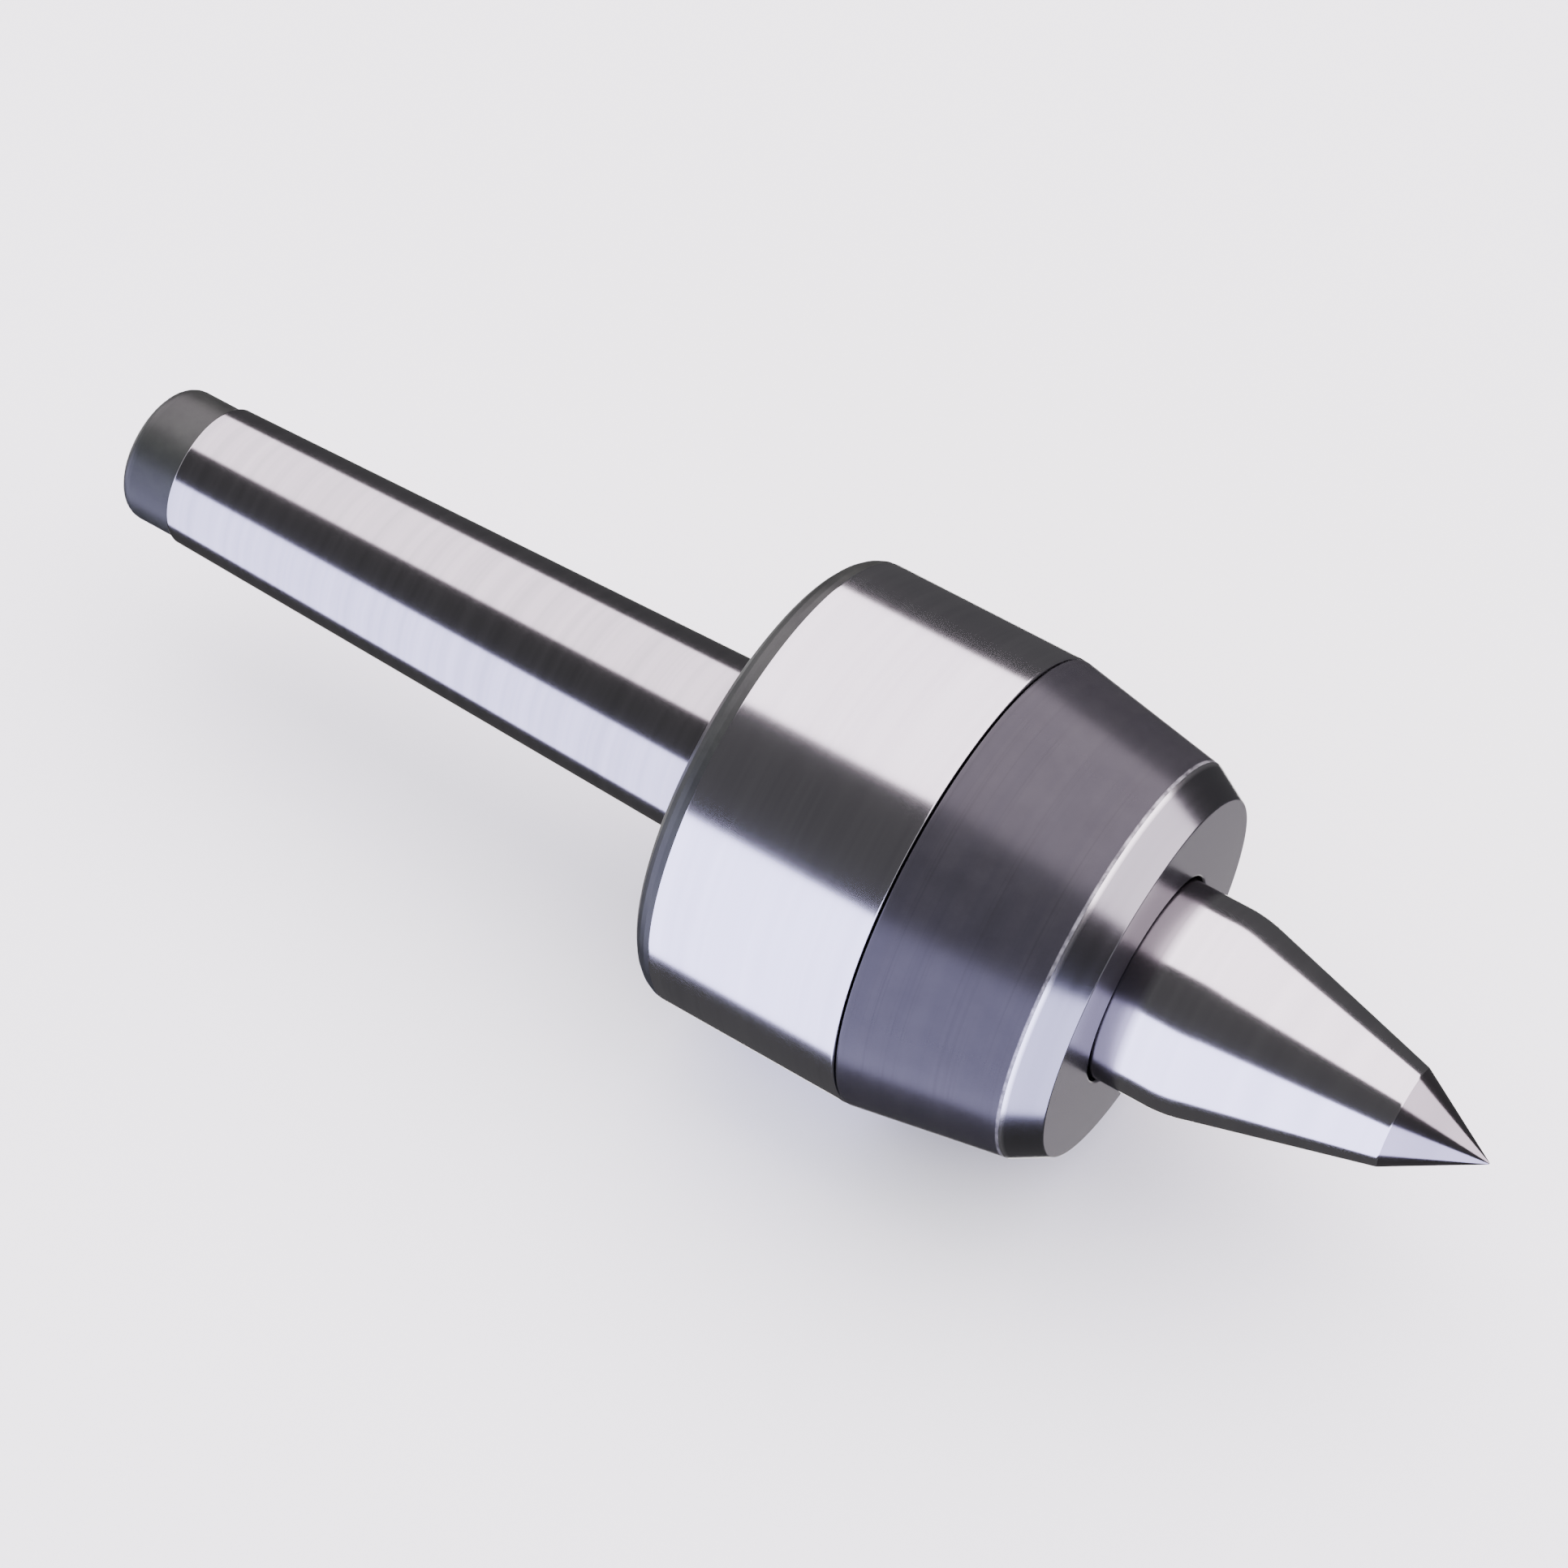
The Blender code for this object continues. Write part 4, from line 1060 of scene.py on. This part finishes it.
def dress_faces(piece, finish, chosen):
    """Gives a second finish to the faces whose middle, as (x, r) in millimetres, is chosen."""
    piece.data.materials.append(finish)
    for face in piece.data.polygons:
        x, y, z = face.center / MM
        if chosen(x, math.hypot(y, z)):
            face.material_index = len(piece.data.materials) - 1


def black_end_and_rear_shade(x, r):
    """The shank's end, and the body's rear face with its rounded edge, which is painted black as painted
    shade.
    """
    edge_end = SHOULDER_X + REAR_ROUND - 0.2
    # painted shade: the rear face and its rounded edge are painted black, standing in for the dark
    # reflection along that edge
    on_rear = SHOULDER_X - FINISH_MARGIN < x < edge_end and r > REAR_FACE_RADIUS
    return x < -TAPER_LENGTH + FINISH_MARGIN or on_rear


def on_taper(x, r):
    """The taper, with the undercut before the rear face."""
    outside = r > PILOT_RADIUS + 0.2
    return -TAPER_LENGTH + FINISH_MARGIN < x < SHOULDER_X - FINISH_MARGIN and outside


def add_housing():
    """The pieces that stand still."""
    housing = add(shank_and_housing(), "shank_housing", "housing", "ground_steel")
    # black oxide on the shank's end, and painted shade on the body's rear face and its rounded edge
    dress_faces(housing, pilot_oxide_and_rear_shade(), black_end_and_rear_shade)
    dress_faces(housing, taper_steel(), on_taper)

    chamfer_x = span("front_cap")[1] - CAP_CHAMFER_LENGTH
    bright_x = chamfer_x + 0.1
    bright_r = CAP_FACE_RADIUS + 0.02
    # painted highlight on the cap's fillet just before the chamfer
    highlight_band = (chamfer_x - 0.45, bright_x, CAP_FRONT_RADIUS - 0.5)
    cap_finish = black_oxide("cap_black_oxide", highlight_band)
    cap = add(blackened_front_cap(), "front_cap", "housing", "black_oxide_steel", cap_finish)
    dress_faces(cap, chamfer_steel(chamfer_x), lambda x, r: x > bright_x and r > bright_r)

    add(cap_grub_screw(), "cap_lock_screw", "housing", "black_oxide_steel")
    add(cap_seal_ring(), "cap_o_ring", "housing", "seal_rubber")
    add(shaft_lip_seal(), "shaft_seal", "housing", "seal_rubber")
    add(garter_spring(), "seal_garter_spring", "housing", "spring_steel")
    add(wave_spring(), "preload_wave_washer", "housing", "spring_steel")
    add(front_outer_race(), "front_bearing_outer_ring", "housing", "bearing_steel")
    for side, facing in (("rear", -1), ("front", 1)):
        node = f"front_bearing_{side}_shield"
        add(dust_shield(f"{side}_dust_shield", node, facing), node, "housing", "spring_steel")
    node = "thrust_bearing_housing_washer"
    rear_race = thrust_race("rear_thrust_race", node, bore=THRUST_HOUSING_BORE, side=-1)
    add(rear_race, node, "housing", "bearing_steel")
    add(drawn_needle_cup(), "needle_bearing_cup", "housing", "bearing_steel")


def add_spindle():
    """The pieces that turn with the point."""
    # the point's painted shade runs from its collar's shoulder to this x, in front of the cap's face
    shade_end_x = span("front_cap")[1] + PAINTED_SHADE_REACH
    point_finish = point_steel(COLLAR_SHOULDER_X, shade_end_x)
    point = add(extended_point(), "center_point", "spindle", "ground_steel", point_finish)
    tip_x = span("center_point")[1] - TIP_LENGTH + 0.2
    dress_faces(point, tip_steel(), lambda x, r: x > tip_x)

    add(slotted_lock_nut(), "bearing_lock_nut", "spindle", "black_oxide_steel")
    add(tab_washer(), "lock_tab_washer", "spindle", "spring_steel")
    add(front_inner_race(), "front_bearing_inner_ring", "spindle", "bearing_steel")
    node = "thrust_bearing_shaft_washer"
    front_race = thrust_race("front_thrust_race", node, bore=THRUST_SHAFT_BORE, side=1)
    add(front_race, node, "spindle", "bearing_steel")


def add_cages():
    """The three cages, each with its balls or needles."""
    add(front_ball_cage(), "front_bearing_cage", "front_cage", "cage_brass")
    add(thrust_ball_cage(), "thrust_bearing_cage", "thrust_cage", "cage_brass")
    add(needle_ring_cage(), "needle_bearing_cage", "needle_cage", "cage_brass")
    bearings = (
        ("front", FRONT_BALL_RADIUS, FRONT_PITCH_RADIUS, FRONT_X),
        ("thrust", THRUST_BALL_RADIUS, THRUST_PITCH_RADIUS, THRUST_X),
    )
    for i, turn in enumerate(evenly(BALLS), start=1):
        for bearing, radius, pitch_radius, x in bearings:
            piece = ball(f"{bearing}_ball_{i:02d}", radius, pitch_radius, x, turn)
            add(piece, f"{bearing}_bearing_ball_{i:02d}", f"{bearing}_cage", "bearing_steel")
    for i, turn in enumerate(evenly(NEEDLES), start=1):
        piece = needle(f"needle_{i:02d}", turn)
        add(piece, f"needle_roller_{i:02d}", "needle_cage", "bearing_steel")


# --- Stage, light and camera ---

VIEW_AZIMUTH = 33.0
VIEW_ELEVATION = 56.0
VIEW_DISTANCE = 0.60
LENS = 85.0
FLOOR_HALF_WIDTH = 3.0

PANEL_DISTANCE = 3.3  # past the floor's edge, so that no panel casts its own edge on the floor
PANEL_SPAN = (-9.0, 8.0)  # along the spindle
FACE_PANEL_SPAN = (0.45, 2.1)  # the stretch of the panel underneath that the cap's face mirrors
PANEL_HALF_ANGLE = 41.0
DARK_HALF_ANGLE = 28.5  # of the unlit gap between the panels, which the steel mirrors as a dark stripe
DARK_MIDDLE = -4.5  # where that gap is, in degrees from the camera's side upwards
AREA_TO_POWER = 4.0  # watts per square metre for a radiance of 1
UNDER = 180.0  # degrees from the camera's side
UNDER_PANEL_WIDTH = 1.4
OVERHEAD_HEIGHT = 3.5
OVERHEAD_WIDTH = 8.0
WORLD_DIM = 0.085  # the world's strength, which rises to WORLD_ENDS towards the spindle's two ends
WORLD_ENDS = 0.9
WORLD_REAR_RAMP = (-0.7, -1.0)  # where it rises, as the cosine of the angle to the spindle
WORLD_FRONT_RAMP = (0.87, 1.0)
BACKDROP = 3.1  # its strength as the camera sees it


def view_direction():
    """From the part towards the camera."""
    a = math.radians(VIEW_AZIMUTH)
    e = math.radians(VIEW_ELEVATION)
    return Vector((math.sin(a) * math.cos(e), -math.cos(a) * math.cos(e), math.sin(e)))


def add_camera():
    data = bpy.data.cameras.new("camera")
    data.lens = LENS
    camera = link("camera", data)
    back = view_direction()
    camera.location = (CAD_BOX[0] + CAD_BOX[1]) / 2 + back * VIEW_DISTANCE
    camera.rotation_mode = "QUATERNION"
    camera.rotation_quaternion = (-back).to_track_quat("-Z", "Y")
    bpy.context.scene.camera = camera


def add_floor():
    """A pale floor that lights the underside but isn't mirrored, so the steel keeps its dark edges."""
    bm = bmesh.new()
    half = FLOOR_HALF_WIDTH
    sides = ((-half, -half), (half, -half), (half, half), (-half, half))
    bm.faces.new([bm.verts.new((x, y, CAD_BOX[0].z)) for x, y in sides])
    mesh = bpy.data.meshes.new("floor")
    bm.to_mesh(mesh)
    bm.free()
    floor = link("floor", mesh)
    finish = Finish("floor_paper", 0.0)
    finish.shader.inputs["Specular IOR Level"].default_value = 0.1
    fibre = finish.noise(finish.place, 900.0, 3.0)
    colour = finish.mix(fibre, tone(0.85, 0.85, 0.86), tone(0.87, 0.87, 0.875))
    mesh.materials.append(finish.set(colour, 0.9, finish.bump(fibre, 0.05, 0.02)))
    floor.visible_glossy = False


def add_panel(name, middle, towards, along, size, radiance, colour, glossy=True):
    """A softbox. along is the direction of its first side, and towards is the point it faces."""
    data = bpy.data.lights.new(name, "AREA")
    data.shape = "RECTANGLE"
    data.size, data.size_y = size
    data.energy = radiance * size[0] * size[1] * AREA_TO_POWER
    data.color = colour
    light = link(name, data)
    away = (middle - towards).normalized()
    across = (along - away * along.dot(away)).normalized()
    light.location = middle
    light.rotation_mode = "QUATERNION"
    light.rotation_quaternion = Matrix((across, away.cross(across), away)).transposed().to_quaternion()
    light.visible_camera = False
    light.visible_glossy = glossy


def round_spindle(degrees):
    """The direction at right angles to the spindle, counted from the camera's side upwards."""
    toward = view_direction()
    a = math.atan2(toward.z, -toward.y) + math.radians(degrees)
    return Vector((0, -math.cos(a), math.sin(a)))


def add_world():
    """A dim studio, lighter towards the spindle's two ends, with a pale backdrop behind the floor."""
    world = bpy.data.worlds.new("studio")
    bpy.context.scene.world = world
    world.use_nodes = True
    tree = world.node_tree
    background = tree.nodes["Background"]
    background.inputs["Color"].default_value = tone(0.97, 0.94, 1.0)
    direction = add_node(tree, "TexCoord", {})["Generated"]
    along = add_node(tree, "SeparateXYZ", {0: direction})["X"]
    rear, front = (
        add_node(tree, "MapRange", {0: along, 1: begin, 2: end, 3: WORLD_DIM, 4: WORLD_ENDS})[0]
        for begin, end in (WORLD_REAR_RAMP, WORLD_FRONT_RAMP)
    )
    dim = add_node(tree, "Math", {0: rear, 1: front}, operation="MAXIMUM")[0]
    seen = add_node(tree, "LightPath", {})["Is Camera Ray"]
    strength = add_node(tree, "Mix", {0: seen, 2: dim, 3: BACKDROP}, data_type="FLOAT")[0]
    join(tree, strength, background.inputs["Strength"])


def add_lights():
    """Long softboxes beside and below the spindle, and a fill above that isn't mirrored."""
    spindle = Vector((1, 0, 0))
    width = 2 * PANEL_DISTANCE * math.tan(math.radians(PANEL_HALF_ANGLE))
    offset = DARK_HALF_ANGLE + PANEL_HALF_ANGLE
    start, end = PANEL_SPAN
    face_start, face_end = FACE_PANEL_SPAN
    # name, angle round the spindle, first and last x, width, radiance and colour
    panels = (
        ("front_panel", DARK_MIDDLE - offset, start, end, width, 4.2, (0.64, 0.62, 1.0)),
        ("back_panel", DARK_MIDDLE + offset, start, end, width, 2.9, (1.0, 0.86, 0.98)),
        ("under_rear_panel", UNDER, start, face_start, UNDER_PANEL_WIDTH, 2.1, (1.0, 0.97, 0.98)),
        ("face_panel", UNDER, face_start, face_end, UNDER_PANEL_WIDTH, 0.35, (0.96, 0.85, 1.0)),
        ("under_front_panel", UNDER, face_end, end, UNDER_PANEL_WIDTH, 2.1, (1.0, 0.97, 0.98)),
    )
    for name, angle, first, last, across, radiance, colour in panels:
        middle = spindle * (first + last) / 2
        place = middle + round_spindle(angle) * PANEL_DISTANCE
        add_panel(name, place, middle, spindle, (last - first, across), radiance, colour)
    overhead = Vector((0, 0, OVERHEAD_HEIGHT))
    size = (OVERHEAD_WIDTH, OVERHEAD_WIDTH)
    add_panel("overhead_fill", overhead, Vector(), spindle, size, 2.7, (1, 1, 1), glossy=False)


add_camera()
add_floor()
add_world()
add_lights()
add_housing()
add_spindle()
add_cages()
